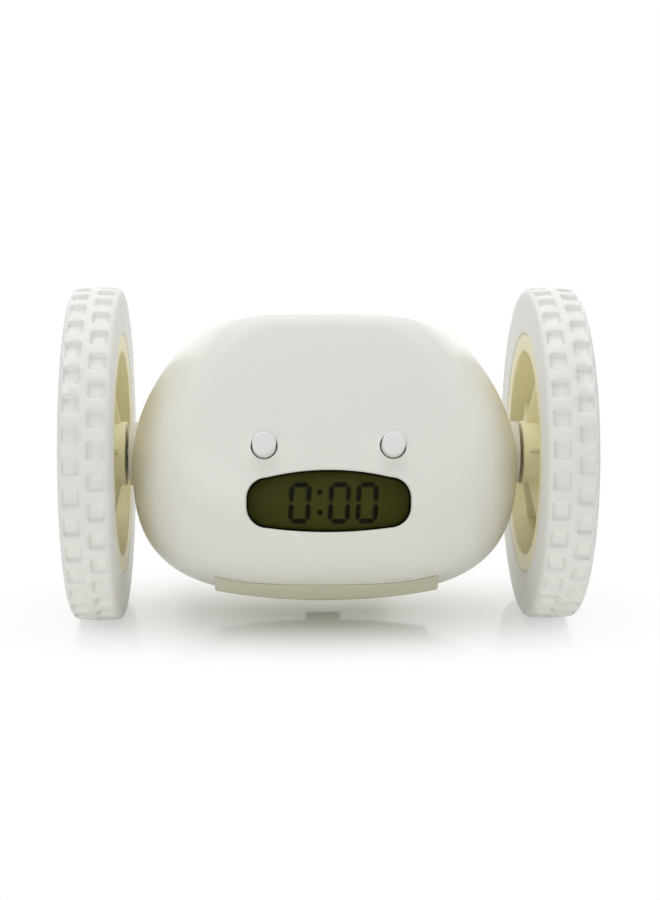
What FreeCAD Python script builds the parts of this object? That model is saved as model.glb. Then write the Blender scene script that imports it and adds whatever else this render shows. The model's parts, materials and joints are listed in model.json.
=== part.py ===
"""Runaway alarm clock: a barrel-shaped clock that hangs between two large treaded wheels.

Frame: the origin is on the floor under the middle of the axle. +X runs along the axle to the
wheel on the right as seen from the front, -Y is the side with the display, +Z is up.
The clock body leans back about the axle. Its pieces are drawn in the body's own upright
frame, centred on the axle, and then placed together with one tilted placement.
"""
import FreeCAD, Part
import math
import os

import Sketcher
from FreeCAD import Placement, Rotation, Vector

doc = FreeCAD.newDocument("runaway_alarm_clock")

# ----------------------------------------------------------------------------------------
# Driving dimensions, in millimetres and degrees
# ----------------------------------------------------------------------------------------
SIZES = (
    # Wheels
    ("wheel_radius", 44.0),
    ("wheel_inner_face", 53.25),
    ("tyre_width", 12.65),
    ("tyre_bore", 31.9),
    ("tyre_edge", 1.5),
    ("tread_pitches", 36.0),
    ("tread_depth", 1.4),
    ("tread_pocket_length", 4.9),
    ("tread_pocket_width", 4.1),
    ("tread_row_gap", 2.1),
    ("tread_inner_band", 1.35),
    ("tread_turn", 5.0),
    ("rim_thickness", 4.5),
    ("tyre_fit_gap", 0.15),
    ("rim_recess", 0.2),
    ("hub_radius", 8.5),
    ("hub_gap", 0.9),
    ("web_inner_face", 60.8),
    ("web_thickness", 1.2),
    ("rib_count", 5.0),
    ("rib_thickness", 1.8),
    ("rib_hub_edge", 53.9),
    ("rib_rim_edge", 57.6),
    ("cap_skirt", 1.4),
    ("cap_thickness", 1.2),
    ("cap_recess", 0.5),
    ("nut_width", 5.0),
    ("nut_height", 1.4),
    ("nut_seat", 0.4),
    ("rib_bury", 0.1),
    ("axle_radius", 1.5),
    ("running_gap", 0.05),
    # Body shape
    ("body_pitch", 16.5),
    ("half_width", 50.7),
    ("crown_radius", 46.6),
    ("crown_power", 1.77),
    ("crown_height", 34.5),
    ("back_radius", 39.0),
    ("base_radius", 37.45),
    ("base_power", 3.1),
    ("face_distance", 33.35),
    ("face_tilt", 11.0),
    ("face_bulge_radius", 300.0),
    ("wall", 2.0),
    ("seam_gap", 0.15),
    ("end_trim", 0.35),
    ("bushing_radius", 2.6),
    ("boss_depth", 5.5),
    ("boss_end", 51.5),
    # Display
    ("window_width", 40.8),
    ("window_height", 15.4),
    ("window_corner", 5.2),
    ("window_top_bow", 1.8),
    ("window_bottom_bow", 1.05),
    ("window_level", -13.2),
    ("window_sink", 0.8),
    ("window_rebate", 1.2),
    ("window_clearance", 0.1),
    ("lcd_gap", 0.3),
    ("lcd_thickness", 2.2),
    ("lcd_margin", 0.4),
    ("lcd_frame_wall", 1.2),
    ("lcd_frame_setback", 1.0),
    ("board_gap", 1.0),
    ("board_thickness", 1.6),
    ("main_board_width", 53.6),
    ("main_board_top", 9.0),
    ("main_board_bottom", -21.5),
    ("digit_height", 10.4),
    ("digit_width", 5.6),
    ("digit_stroke", 1.3),
    ("digit_slant", 3.0),
    ("ink_thickness", 0.12),
    # Eye buttons
    ("eye_spacing", 32.0),
    ("eye_level", 0.5),
    ("eye_radius", 2.95),
    ("eye_hole_gap", 0.35),
    ("eye_proud", 3.2),
    ("eye_travel", 0.6),
    ("eye_flange", 1.0),
    ("eye_flange_thickness", 0.8),
    ("eye_switch_height", 1.2),
    # Switches shared by all the buttons
    ("switch_size", 6.0),
    ("switch_height", 3.5),
    ("press_gap", 0.1),
    ("stem_radius", 1.6),
    # Snooze button
    ("snooze_angle", 38.0),
    ("snooze_length", 22.0),
    ("snooze_breadth", 10.0),
    ("snooze_proud", 0.9),
    ("snooze_slot_gap", 0.35),
    ("snooze_travel", 1.0),
    # Rear controls
    ("rear_board_front", 21.4),
    ("rear_board_level", 16.5),
    ("rear_board_width", 42.0),
    ("rear_board_height", 11.0),
    ("set_button_spacing", 23.0),
    ("set_button_radius", 3.5),
    ("set_button_proud", 1.0),
    ("set_button_travel", 0.6),
    ("slider_travel", 2.0),
    # Speaker
    ("speaker_radius", 13.0),
    ("speaker_depth", 6.0),
    ("speaker_level", -1.5),
    ("speaker_seat", 32.0),
    ("speaker_shoulder", 1.0),
    ("speaker_rim", 1.6),
    ("grille_hole", 1.0),
    ("grille_pitch", 3.6),
    # Battery bay
    ("cell_radius", 5.25),
    ("cell_length", 43.3),
    ("cell_button", 1.2),
    ("cell_gap", 0.4),
    ("cell_level", -28.6),
    ("tray_wall", 1.4),
    ("contact_thickness", 0.4),
    ("spring_length", 2.4),
    # Battery door
    ("door_width", 57.5),
    ("door_front", -14.6),
    ("door_back", 13.0),
    ("door_bottom", -38.7),
    ("door_crown_radius", 150.0),
    ("door_lip_slope", 3.0),
    ("door_gap", 0.3),
    ("door_plug_margin", 2.4),
    ("tab_width", 9.5),
    ("tab_reach", 2.0),
    ("tab_drop", 1.0),
    # Drive
    ("motor_diameter", 20.0),
    ("motor_height", 15.0),
    ("motor_length", 25.0),
    ("gearbox_plane", 32.0),
    ("frame_plate", 1.6),
    ("gear_gap", 0.5),
    ("gear_width", 2.6),
    ("output_width", 3.4),
    ("cover_plate", 1.4),
    ("cover_radius", 15.2),
    ("gear_module", 0.5),
    ("output_teeth", 40.0),
    ("pinion_teeth", 12.0),
    ("idler_teeth", 36.0),
    ("centre_slack", 0.05),
    ("backlash", 0.10),
    ("idler_angle", 46.0),
    ("pinion_angle", 150.0),
    ("idler_pin_radius", 0.75),
    ("shaft_radius", 1.0),
    ("shaft_depth", 2.0),
    # Fasteners
    ("screw_radius", 1.1),
    ("screw_head_radius", 2.0),
    ("screw_head_height", 1.6),
    ("post_radius", 3.2),
    ("board_post_radius", 2.2),
    ("upper_post_x", 22.0),
    ("upper_post_level", 27.0),
    ("lower_post_x", 34.0),
    ("lower_post_level", -18.0),
    ("post_screw_reach", 8.0),
)

sheet = doc.addObject("Spreadsheet::Sheet", "Sizes")
for row, (alias, value) in enumerate(SIZES, start=1):
    sheet.set("A%d" % row, alias)
    sheet.set("B%d" % row, "%.6g" % value)
    sheet.setAlias("B%d" % row, alias)
doc.recompute()


def size(alias):
    """A driving dimension, read from the sheet."""
    return float(sheet.get(alias))


X_AXIS = Vector(1, 0, 0)
Y_AXIS = Vector(0, 1, 0)
Z_AXIS = Vector(0, 0, 1)
TO_X = Rotation(Y_AXIS, 90)
TO_FRONT = Rotation(X_AXIS, 90)
SIDES = (("left", -1), ("right", 1))

AXLE = Vector(0, 0, size("wheel_radius"))
WHEEL_FRAME = Placement(AXLE, Rotation())
BODY_FRAME = Placement(AXLE, Rotation(X_AXIS, -size("body_pitch")))

# ----------------------------------------------------------------------------------------
# Small helpers
# ----------------------------------------------------------------------------------------


subparts = []


def finish(obj, label, frame=BODY_FRAME):
    """Name a finished sub-part and set it in its frame."""
    obj.Label = label
    obj.Placement = frame.multiply(obj.Placement)
    subparts.append(obj)
    return obj


def add_shape(label, shape, frame=BODY_FRAME):
    """A sub-part whose shape is drawn directly in the frame's own coordinates."""
    obj = doc.addObject("Part::Feature", label)
    obj.Shape = shape
    return finish(obj, label, frame)


def rod(name, radius, length, at, turn=Rotation()):
    """A cylinder bound to the sheet: radius and length are expressions."""
    obj = doc.addObject("Part::Cylinder", name)
    obj.setExpression("Radius", radius)
    obj.setExpression("Height", length)
    obj.Placement = Placement(at, turn)
    return obj


def block(name, length, width, height, at, turn=Rotation()):
    """A box bound to the sheet: its sides along X, Y and Z are expressions."""
    obj = doc.addObject("Part::Box", name)
    obj.setExpression("Length", length)
    obj.setExpression("Width", width)
    obj.setExpression("Height", height)
    obj.Placement = Placement(at, turn)
    return obj


def cut(name, base, tool):
    obj = doc.addObject("Part::Cut", name)
    obj.Base = base
    obj.Tool = tool
    return obj


def fuse(name, shapes):
    obj = doc.addObject("Part::MultiFuse", name)
    obj.Shapes = shapes
    return obj


def x_rod(radius, start, end, y=0.0, level=0.0):
    """A plain cylinder shape along X."""
    return Part.makeCylinder(radius, end - start, Vector(start, y, level), X_AXIS)


def y_rod(radius, start, end, x=0.0, level=0.0):
    """A plain cylinder shape along Y."""
    return Part.makeCylinder(radius, end - start, Vector(x, start, level), Y_AXIS)


def slab(x_span, y_span, z_span):
    """A plain box shape between three pairs of bounds."""
    low = Vector(x_span[0], y_span[0], z_span[0])
    return Part.makeBox(x_span[1] - x_span[0], y_span[1] - y_span[0], z_span[1] - z_span[0], low)


def mirrored(shape, side):
    """The same shape on the other side of the clock, for side -1."""
    return shape if side > 0 else shape.mirror(Vector(), X_AXIS)


def total(*terms):
    """The sum of aliases, as a number and as an expression. A leading minus subtracts, /2 halves."""
    number = 0.0
    words = []
    for term in terms:
        sign = -1 if term.startswith("-") else 1
        alias, _, divisor = term.lstrip("-").partition("/")
        share = size(alias) / float(divisor or 1)
        number += sign * share
        word = "Sizes." + alias + ("/" + divisor if divisor else "")
        words.append(("-" if sign < 0 else "+") + word)
    return number, " ".join(words).lstrip("+")


def origin_plane(body, role):
    return [part for part in body.Origin.OriginFeatures if part.Role == role][0]


def polygon_sketch(body, name, role, corners):
    """A closed outline whose corners are bound to the sheet, on one of the body's own planes."""
    sketch = body.newObject("Sketcher::SketchObject", name)
    sketch.AttachmentSupport = (origin_plane(body, role), [""])
    sketch.MapMode = "FlatFace"
    count = len(corners)
    points = [Vector(across[0], up[0], 0) for across, up in corners]
    for index in range(count):
        sketch.addGeometry(Part.LineSegment(points[index], points[(index + 1) % count]), False)
    for index in range(count):
        sketch.addConstraint(Sketcher.Constraint("Coincident", index, 2, (index + 1) % count, 1))
    for index, (across, up) in enumerate(corners):
        for kind, (number, words) in (("DistanceX", across), ("DistanceY", up)):
            place = sketch.addConstraint(Sketcher.Constraint(kind, -1, 1, index, 1, number))
            sketch.setExpression("Constraints[%d]" % place, words)
    return sketch


def revolved(label, corners, frame):
    """A turned piece: the outline is (along X, away from X), turned about X."""
    body = doc.addObject("PartDesign::Body", label)
    sketch = polygon_sketch(body, label + "_profile", "XY_Plane", corners)
    turn = body.newObject("PartDesign::Revolution", label + "_turn")
    turn.Profile = sketch
    turn.ReferenceAxis = (sketch, ["H_Axis"])
    turn.Angle = 360.0
    body.Tip = turn
    sketch.Visibility = False
    return finish(body, label, frame)


# ----------------------------------------------------------------------------------------
# The clock body's outer form
# ----------------------------------------------------------------------------------------
# The form is a barrel lying along the axle: a crowned upper half with a flattened top, a
# rounder back and a fuller base, cut at the front by a large, slightly bulged slanted face.
# Each bound is a gauge, the factor by which a point would have to shrink to lie on it, and
# the gauges are blended by a power mean, so the higher the power the crisper the edge.
TOP_BLEND = 40.0
CROWN_BLEND = 30.0
CHIN_BLEND = 14.0
GRID_SECTIONS = 28
GRID_AROUND = 56
RADIUS_STEPS = 34
PARAMETERS = [step / GRID_AROUND for step in range(GRID_AROUND + 1)]


def ease(share):
    """Smooth step from 0 to 1."""
    share = min(1.0, max(0.0, share))
    return share * share * (3.0 - 2.0 * share)


def body_gauge(x, y, level, offset):
    """Above 1 outside the body form grown by offset, below 1 inside it."""
    reach = math.hypot(y, level)
    lift = level / reach
    upness = ease((1.0 + lift) / 2.0)
    backness = ease(max(0.0, y / reach))
    crown = size_crown + (size_back - size_crown) * backness
    radius = size_base + (crown - size_base) * upness + offset
    power = power_base + (power_crown - power_base) * upness
    barrel = ((abs(x) / (size_half + offset)) ** power + (reach / radius) ** power) ** (1.0 / power)
    top = max(0.0, level) / (size_top + offset)
    barrel = (barrel ** TOP_BLEND + top ** TOP_BLEND) ** (1.0 / TOP_BLEND)
    along = -y * face_cos + level * face_sin
    centre = size_face - size_bulge
    squared = x * x + y * y + level * level
    share = along * centre
    root = share * share - squared * (centre * centre - (size_bulge + offset) ** 2)
    face = squared / (share + math.sqrt(root))
    blend = CHIN_BLEND + (CROWN_BLEND - CHIN_BLEND) * ease((1.0 + lift * 1.6) / 2.0)
    return (barrel ** blend + face ** blend) ** (1.0 / blend)


size_half = size("half_width")
size_crown = size("crown_radius")
size_back = size("back_radius")
size_base = size("base_radius")
size_top = size("crown_height")
power_crown = size("crown_power")
power_base = size("base_power")
size_face = size("face_distance")
size_bulge = size("face_bulge_radius")
face_cos = math.cos(math.radians(size("face_tilt")))
face_sin = math.sin(math.radians(size("face_tilt")))


def body_reach(x, angle, offset=0.0):
    """Distance from the axle to the form at X, at an angle from straight up towards the back."""
    away_y = math.sin(angle)
    away_z = math.cos(angle)
    low = 0.01
    high = 2.0 * size_crown
    for _ in range(RADIUS_STEPS):
        middle = (low + high) / 2.0
        if body_gauge(x, middle * away_y, middle * away_z, offset) > 1.0:
            high = middle
        else:
            low = middle
    return (low + high) / 2.0


def front_of(x, level, offset=0.0):
    """Y of the form's front at a place on the face."""
    low = -2.0 * size_crown
    high = -0.01
    for _ in range(RADIUS_STEPS):
        middle = (low + high) / 2.0
        if body_gauge(x, middle, level, offset) > 1.0:
            low = middle
        else:
            high = middle
    return (low + high) / 2.0


def back_of(x, level, offset=0.0):
    """Y of the form's back at a place on it."""
    low = 0.01
    high = 2.0 * size_crown
    for _ in range(RADIUS_STEPS):
        middle = (low + high) / 2.0
        if body_gauge(x, middle, level, offset) > 1.0:
            high = middle
        else:
            low = middle
    return (low + high) / 2.0


def body_solid(offset):
    """The form grown by offset, lofted through closed sections across the axle."""
    end = size_half - size("end_trim") + offset
    sections = []
    for index in range(GRID_SECTIONS + 1):
        x = -end * math.cos(math.pi * index / GRID_SECTIONS)
        points = []
        for step in range(GRID_AROUND):
            angle = 2.0 * math.pi * step / GRID_AROUND
            reach = body_reach(x, angle, offset)
            points.append(Vector(x, reach * math.sin(angle), reach * math.cos(angle)))
        curve = Part.BSplineCurve()
        curve.interpolate(Points=points, PeriodicFlag=True, Parameters=PARAMETERS)
        sections.append(Part.Wire(curve.toShape()))
    return Part.makeLoft(sections, True, False)


FAR = 3.0 * size_half
outer_form = body_solid(0.0)
inner_form = body_solid(-size("wall"))

# ----------------------------------------------------------------------------------------
# Places that several pieces share
# ----------------------------------------------------------------------------------------
WALL = size("wall")
LEVEL_WINDOW = size("window_level")
LCD_WIDTH = size("window_width") + 2.0 * size("lcd_margin")
LCD_HEIGHT = size("window_height") + 2.0 * size("lcd_margin")
LCD_CORNERS = [
    (x, LEVEL_WINDOW + rise)
    for x in (0.0, LCD_WIDTH / 2.0)
    for rise in (-LCD_HEIGHT / 2.0, LCD_HEIGHT / 2.0)
]
LCD_FRONT = max(front_of(x, level, -WALL) for x, level in LCD_CORNERS) + size("lcd_gap")
LCD_BACK = LCD_FRONT + size("lcd_thickness")
BOARD_FRONT = LCD_BACK + size("board_gap")
BOARD_BACK = BOARD_FRONT + size("board_thickness")
EYE_X = size("eye_spacing") / 2.0
EYE_FACE = front_of(EYE_X, size("eye_level"))
EYE_TURN = Rotation(X_AXIS, -size("face_tilt")).multiply(Rotation(Z_AXIS, -90))
EYE_FRAMES = [Placement(Vector(side * EYE_X, EYE_FACE, size("eye_level")), EYE_TURN) for _, side in SIDES]
BOARD_POSTS = [
    (side * (size("main_board_width") / 2.0 - size("board_post_radius")), level)
    for _, side in SIDES
    for level in (
        size("main_board_top") - size("board_post_radius"),
        size("main_board_bottom") + size("board_post_radius"),
    )
]
HOUSING_POSTS = [
    (side * size(place + "_post_x"), size(place + "_post_level"))
    for place in ("upper", "lower")
    for _, side in SIDES
]
REAR_BOARD_BACK = size("rear_board_front") + size("board_thickness")
REAR_POSTS = [side * (size("rear_board_width") / 2.0 - size("board_post_radius")) for _, side in SIDES]
SET_PLACES = [side * size("set_button_spacing") / 2.0 for _, side in SIDES]
SLIDER_HALF = size("slider_travel") + 1.2
SLIDER_BREADTH = 1.2
HOLE_SKIN = 0.4

SNOOZE_TURN = math.radians(size("snooze_angle"))
SNOOZE_FRAME = Placement(Vector(), Rotation(X_AXIS, -size("snooze_angle")))
SNOOZE_ROUND = size("snooze_breadth") / 2.0 + size("eye_flange")
SNOOZE_EDGES = []
for quarter in (0.0, 0.5, 1.0, -0.5, -1.0):
    across = (size("snooze_length") - size("snooze_breadth")) / 2.0
    across += SNOOZE_ROUND * math.cos(quarter * math.pi / 2.0)
    sway = math.atan2(SNOOZE_ROUND * math.sin(quarter * math.pi / 2.0), size("back_radius"))
    SNOOZE_EDGES.append(body_reach(across, SNOOZE_TURN + sway, -WALL) * math.cos(sway))
SNOOZE_FLANGE_TOP = min(SNOOZE_EDGES) - size("eye_hole_gap")
SNOOZE_FLANGE_BOTTOM = SNOOZE_FLANGE_TOP - size("eye_flange_thickness")
SNOOZE_SWITCH_TOP = SNOOZE_FLANGE_BOTTOM - size("snooze_travel") - size("press_gap")
SNOOZE_BOARD_TOP = SNOOZE_SWITCH_TOP - size("eye_switch_height")
SNOOZE_BOARD_BOTTOM = SNOOZE_BOARD_TOP - size("board_thickness")
SNOOZE_POST_X = size("snooze_length") / 2.0 + size("eye_flange") + size("board_post_radius")
SNOOZE_BOARD_SPAN = (-size("snooze_breadth") / 2.0, size("snooze_breadth") / 2.0 - 2.6)

BOSS_START = size("boss_end") - size("boss_depth")
FRAME_OUTER = size("gearbox_plane") + size("frame_plate")
GEAR_START = FRAME_OUTER + size("gear_gap")
GEAR_END = GEAR_START + size("gear_width")
OUTPUT_START = GEAR_END + size("gear_gap")
OUTPUT_END = OUTPUT_START + size("output_width")
COVER_START = OUTPUT_END + size("gear_gap")
LUG_BACK = 13.0
LUG_THICKNESS = 1.6
LUG_X = 29.0
LUG_LEVELS = (0.0, -8.0)

MODULE = size("gear_module")
OUTPUT_TO_IDLER = MODULE * (size("output_teeth") + size("pinion_teeth")) / 2.0 + size("centre_slack")
IDLER_TO_PINION = MODULE * (size("idler_teeth") + size("pinion_teeth")) / 2.0 + size("centre_slack")
IDLER_TURN = math.radians(size("idler_angle"))
PINION_TURN = math.radians(size("pinion_angle"))
IDLER_Y = OUTPUT_TO_IDLER * math.cos(IDLER_TURN)
IDLER_Z = OUTPUT_TO_IDLER * math.sin(IDLER_TURN)
PINION_Y = IDLER_Y + IDLER_TO_PINION * math.cos(PINION_TURN)
PINION_Z = IDLER_Z + IDLER_TO_PINION * math.sin(PINION_TURN)

TRAY_HALF_X = size("cell_length") / 2.0 + size("cell_button") + size("spring_length")
TRAY_HALF_Y = 2.0 * size("cell_radius") + 1.5 * size("cell_gap")
TRAY_TOP = size("cell_level") + 3.0 * size("cell_radius") + 2.0 * size("cell_gap")
DOOR_HALF = size("door_width") / 2.0
DOOR_MARGIN = size("door_plug_margin")
DOOR_HOLE_X = DOOR_HALF - DOOR_MARGIN
DOOR_HOLE_Y = (size("door_front") + DOOR_MARGIN, size("door_back") - DOOR_MARGIN + 1.0)

WHEEL_OUTER = size("wheel_inner_face") + size("tyre_width")

# ----------------------------------------------------------------------------------------
# Housing
# ----------------------------------------------------------------------------------------


def window_outline(grow):
    """The display opening: bowed top and bottom edges joined by large round corners."""
    half = size("window_width") / 2.0 + grow
    tall = size("window_height") / 2.0 + grow
    corner = size("window_corner") + grow
    upper = tall - size("window_top_bow")
    lower = size("window_bottom_bow") - tall
    inset = corner * (1.0 - math.sqrt(0.5))

    def at(x, rise):
        return Vector(x, 0, LEVEL_WINDOW + rise)

    parts = [
        Part.Arc(at(-half + corner, upper), at(0, tall), at(half - corner, upper)),
        Part.Arc(at(half - corner, upper), at(half - inset, upper - inset), at(half, upper - corner)),
        Part.LineSegment(at(half, upper - corner), at(half, lower + corner)),
        Part.Arc(at(half, lower + corner), at(half - inset, lower + inset), at(half - corner, lower)),
        Part.Arc(at(half - corner, lower), at(0, -tall), at(corner - half, lower)),
        Part.Arc(at(corner - half, lower), at(inset - half, lower + inset), at(-half, lower + corner)),
        Part.LineSegment(at(-half, lower + corner), at(-half, upper - corner)),
        Part.Arc(at(-half, upper - corner), at(inset - half, upper - inset), at(corner - half, upper)),
    ]
    return Part.Wire([piece.toShape() for piece in parts])


def window_prism(grow):
    """The opening's outline run forward from well inside the housing."""
    face = Part.Face(window_outline(grow))
    return face.extrude(Vector(0, -FAR, 0))


def capsule(length, breadth, low, high):
    """An upright prism with round ends along X, in its own frame."""
    half = (length - breadth) / 2.0
    radius = breadth / 2.0
    front = Part.LineSegment(Vector(-half, -radius, low), Vector(half, -radius, low)).toShape()
    back = Part.LineSegment(Vector(half, radius, low), Vector(-half, radius, low)).toShape()
    right = Part.Arc(Vector(half, -radius, low), Vector(half + radius, 0, low), Vector(half, radius, low))
    left = Part.Arc(Vector(-half, radius, low), Vector(-half - radius, 0, low), Vector(-half, -radius, low))
    face = Part.Face(Part.Wire([front, right.toShape(), back, left.toShape()]))
    return face.extrude(Vector(0, 0, high - low))


def placed(shape, frame):
    moved = shape.copy()
    moved.Placement = frame.multiply(moved.Placement)
    return moved


def leaned(shape):
    """A shape drawn about Z, leaned back to the snooze button's line."""
    return placed(shape, SNOOZE_FRAME)


def grille_holes():
    """Sound holes in rings round the speaker's centre."""
    tools = []
    level = size("speaker_level")
    for ring in range(4):
        count = max(1, 6 * ring)
        for step in range(count):
            angle = 2.0 * math.pi * step / count
            x = ring * size("grille_pitch") * math.cos(angle)
            rise = ring * size("grille_pitch") * math.sin(angle)
            tools.append(y_rod(size("grille_hole"), size("speaker_seat"), FAR, x, level + rise))
    return tools


def speaker_seat():
    """A ring behind the grille with a shoulder for the speaker's rim."""
    level = size("speaker_level")
    seat = size("speaker_seat")
    ring = y_rod(size("speaker_radius") + 1.2, seat - 3.0, FAR, 0, level)
    pocket = y_rod(size("speaker_radius") + 0.1, 0, seat, 0, level)
    return ring.cut([pocket, y_rod(size("speaker_radius") - size("speaker_shoulder"), 0, 2.0 * FAR, 0, level)])


def inside_posts():
    """Every post and seat that is moulded inside the shells, run on past their walls."""
    posts = [speaker_seat()]
    for x, level in HOUSING_POSTS:
        posts.append(y_rod(size("post_radius"), -FAR, FAR, x, level))
    for x, level in BOARD_POSTS:
        posts.append(y_rod(size("board_post_radius"), -FAR, BOARD_FRONT, x, level))
    for x in REAR_POSTS:
        posts.append(y_rod(size("board_post_radius"), REAR_BOARD_BACK, FAR, x, size("rear_board_level")))
    for _, side in SIDES:
        for level in LUG_LEVELS:
            posts.append(y_rod(size("board_post_radius"), LUG_BACK, FAR, side * LUG_X, level))
        snooze_post = Part.makeCylinder(
            size("board_post_radius") - 0.6, FAR, Vector(side * SNOOZE_POST_X, 0, SNOOZE_BOARD_TOP)
        )
        posts.append(leaned(snooze_post))
    return posts


def housing_solids():
    """The two shells before they are parted: their walls, posts and axle bosses."""
    hollow = inner_form.cut(inside_posts())
    bosses = []
    for _, side in SIDES:
        bosses.append(mirrored(x_rod(size("hub_radius"), BOSS_START, size("boss_end")), side))
    return outer_form.cut(hollow).multiFuse(bosses)


def housing_cuts():
    """Every hole through the two shells."""
    tools = [window_prism(0.0)]
    tools.append(window_prism(size("window_rebate")).common(body_solid(-size("window_sink"))))
    for frame in EYE_FRAMES:
        tools.append(placed(x_rod(size("eye_radius") + size("eye_hole_gap"), -4.0 * WALL, FAR), frame))
    for _, side in SIDES:
        bore = x_rod(size("bushing_radius"), 0, FAR).cut(x_rod(size("bushing_radius"), 0, BOSS_START - 1.0))
        tools.append(mirrored(bore, side))
    slot = 2.0 * size("snooze_slot_gap")
    length = size("snooze_length") + slot
    tools.append(leaned(capsule(length, size("snooze_breadth") + slot, SNOOZE_FLANGE_TOP, FAR)))
    for x in SET_PLACES:
        radius = size("set_button_radius") + size("eye_hole_gap")
        tools.append(y_rod(radius, REAR_BOARD_BACK + 1.0, FAR, x, size("rear_board_level")))
    slider = slab(
        (-SLIDER_HALF - HOLE_SKIN, SLIDER_HALF + HOLE_SKIN),
        (REAR_BOARD_BACK + 1.0, FAR),
        (size("rear_board_level") - SLIDER_BREADTH - HOLE_SKIN,
         size("rear_board_level") + SLIDER_BREADTH + HOLE_SKIN),
    )
    tools.append(slider)
    tools.extend(grille_holes())
    for x, level in HOUSING_POSTS:
        reach = size("post_screw_reach")
        tools.append(y_rod(size("screw_radius"), -reach - 1.0, 0, x, level))
        tools.append(y_rod(size("screw_radius") + size("running_gap"), 0, FAR, x, level))
        tools.append(y_rod(size("screw_head_radius") + 0.3, reach, FAR, x, level))
    pilot = size("screw_radius")
    for x, level in BOARD_POSTS:
        tools.append(y_rod(pilot, BOARD_FRONT - 3.0, BOARD_FRONT, x, level))
    for x in REAR_POSTS:
        tools.append(y_rod(pilot, REAR_BOARD_BACK, REAR_BOARD_BACK + 4.0, x, size("rear_board_level")))
    for _, side in SIDES:
        for level in LUG_LEVELS:
            tools.append(y_rod(pilot, LUG_BACK, LUG_BACK + 5.0, side * LUG_X, level))
    tools.append(slab((-DOOR_HOLE_X, DOOR_HOLE_X), DOOR_HOLE_Y, (-FAR, size("cell_level"))))
    return tools


housing = housing_solids().cut(housing_cuts())
half_seam = size("seam_gap") / 2.0
add_shape("front_shell", housing.common(slab((-FAR, FAR), (-FAR, -half_seam), (-FAR, FAR))))
add_shape("rear_shell", housing.common(slab((-FAR, FAR), (half_seam, FAR), (-FAR, FAR))))


def housing_screws():
    screws = []
    for index, (x, level) in enumerate(HOUSING_POSTS):
        reach = size("post_screw_reach")
        shank = y_rod(size("screw_radius"), -reach, reach, x, level)
        head = y_rod(size("screw_head_radius"), reach, reach + size("screw_head_height"), x, level)
        cross = [
            slab((x - 1.3, x + 1.3), (reach + 0.9, FAR), (level - 0.25, level + 0.25)),
            slab((x - 0.25, x + 0.25), (reach + 0.9, FAR), (level - 1.3, level + 1.3)),
        ]
        screws.append(shank.fuse(head).cut(cross))
    return Part.makeCompound(screws)


add_shape("housing_screws", housing_screws())

# ----------------------------------------------------------------------------------------
# Display
# ----------------------------------------------------------------------------------------


def window_plate():
    """The clear window: it follows the face's curve and sits in a rebate behind its rim."""
    plate = window_prism(size("window_rebate") - size("window_clearance"))
    return plate.common(body_solid(-size("window_sink"))).cut(inner_form)


add_shape("display_window", window_plate())


lcd_place = Vector(-LCD_WIDTH / 2.0, LCD_FRONT, LEVEL_WINDOW - LCD_HEIGHT / 2.0)
LCD_WIDE = "Sizes.window_width + 2 * Sizes.lcd_margin"
LCD_TALL = "Sizes.window_height + 2 * Sizes.lcd_margin"
finish(block("lcd_block", LCD_WIDE, "Sizes.lcd_thickness", LCD_TALL, lcd_place), "lcd_panel")

frame_wall = size("lcd_frame_wall")
frame_place = lcd_place + Vector(-frame_wall, size("lcd_frame_setback"), -frame_wall)
frame_outer = block(
    "lcd_frame_block",
    LCD_WIDE + " + 2 * Sizes.lcd_frame_wall",
    "Sizes.lcd_thickness + Sizes.board_gap - Sizes.lcd_frame_setback",
    LCD_TALL + " + 2 * Sizes.lcd_frame_wall",
    frame_place,
)
frame_opening = block("lcd_frame_opening", LCD_WIDE, "10 * Sizes.lcd_thickness", LCD_TALL, lcd_place - Y_AXIS)
finish(cut("lcd_frame", frame_outer, frame_opening), "lcd_frame")

zebra_place = Vector(-LCD_WIDTH / 2.0 + 2.0, LCD_BACK, LEVEL_WINDOW - LCD_HEIGHT / 2.0 + 0.6)
finish(
    block("zebra_block", LCD_WIDE + " - 4", "Sizes.board_gap", "1.6", zebra_place), "zebra_strip"
)

# Seven-segment digits: each zero lights the six outer segments, and a colon parts hours and minutes.
DIGIT_LEFTS = (-9.9, 0.0, 6.95)
COLON_X = -2.1
COLON_RISES = (-2.4, 2.6)
DIGIT_DROP = 0.4


def segment(start, end):
    """One bar of a digit, pointed at both ends, from corner to corner."""
    stroke = size("digit_stroke")
    half = stroke / 2.0
    cut_back = 0.62 * stroke
    along = (end - start).normalize()
    across = Vector(-along.z, 0, along.x)
    tip = start + along * (cut_back - half)
    far_tip = end - along * (cut_back - half)
    corners = [
        tip,
        tip + along * half + across * half,
        far_tip - along * half + across * half,
        far_tip,
        far_tip - along * half - across * half,
        tip + along * half - across * half,
    ]
    return Part.Face(Part.makePolygon(corners + corners[:1]))


def digit_faces(left):
    """The six lit segments of a zero, leaning by the digit slant."""
    stroke = size("digit_stroke")
    lean = math.tan(math.radians(size("digit_slant")))
    low = -size("digit_height") / 2.0 + stroke / 2.0
    high = -low
    inner_left = left + stroke / 2.0
    inner_right = left + size("digit_width") - stroke / 2.0
    corners = {}
    for name, x in (("l", inner_left), ("r", inner_right)):
        for rank, rise in (("b", low), ("m", 0.0), ("t", high)):
            corners[name + rank] = Vector(x + rise * lean, 0, rise)
    pairs = (("lb", "lm"), ("lm", "lt"), ("lt", "rt"), ("rt", "rm"), ("rm", "rb"), ("rb", "lb"))
    return [segment(corners[start], corners[end]) for start, end in pairs]


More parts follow.
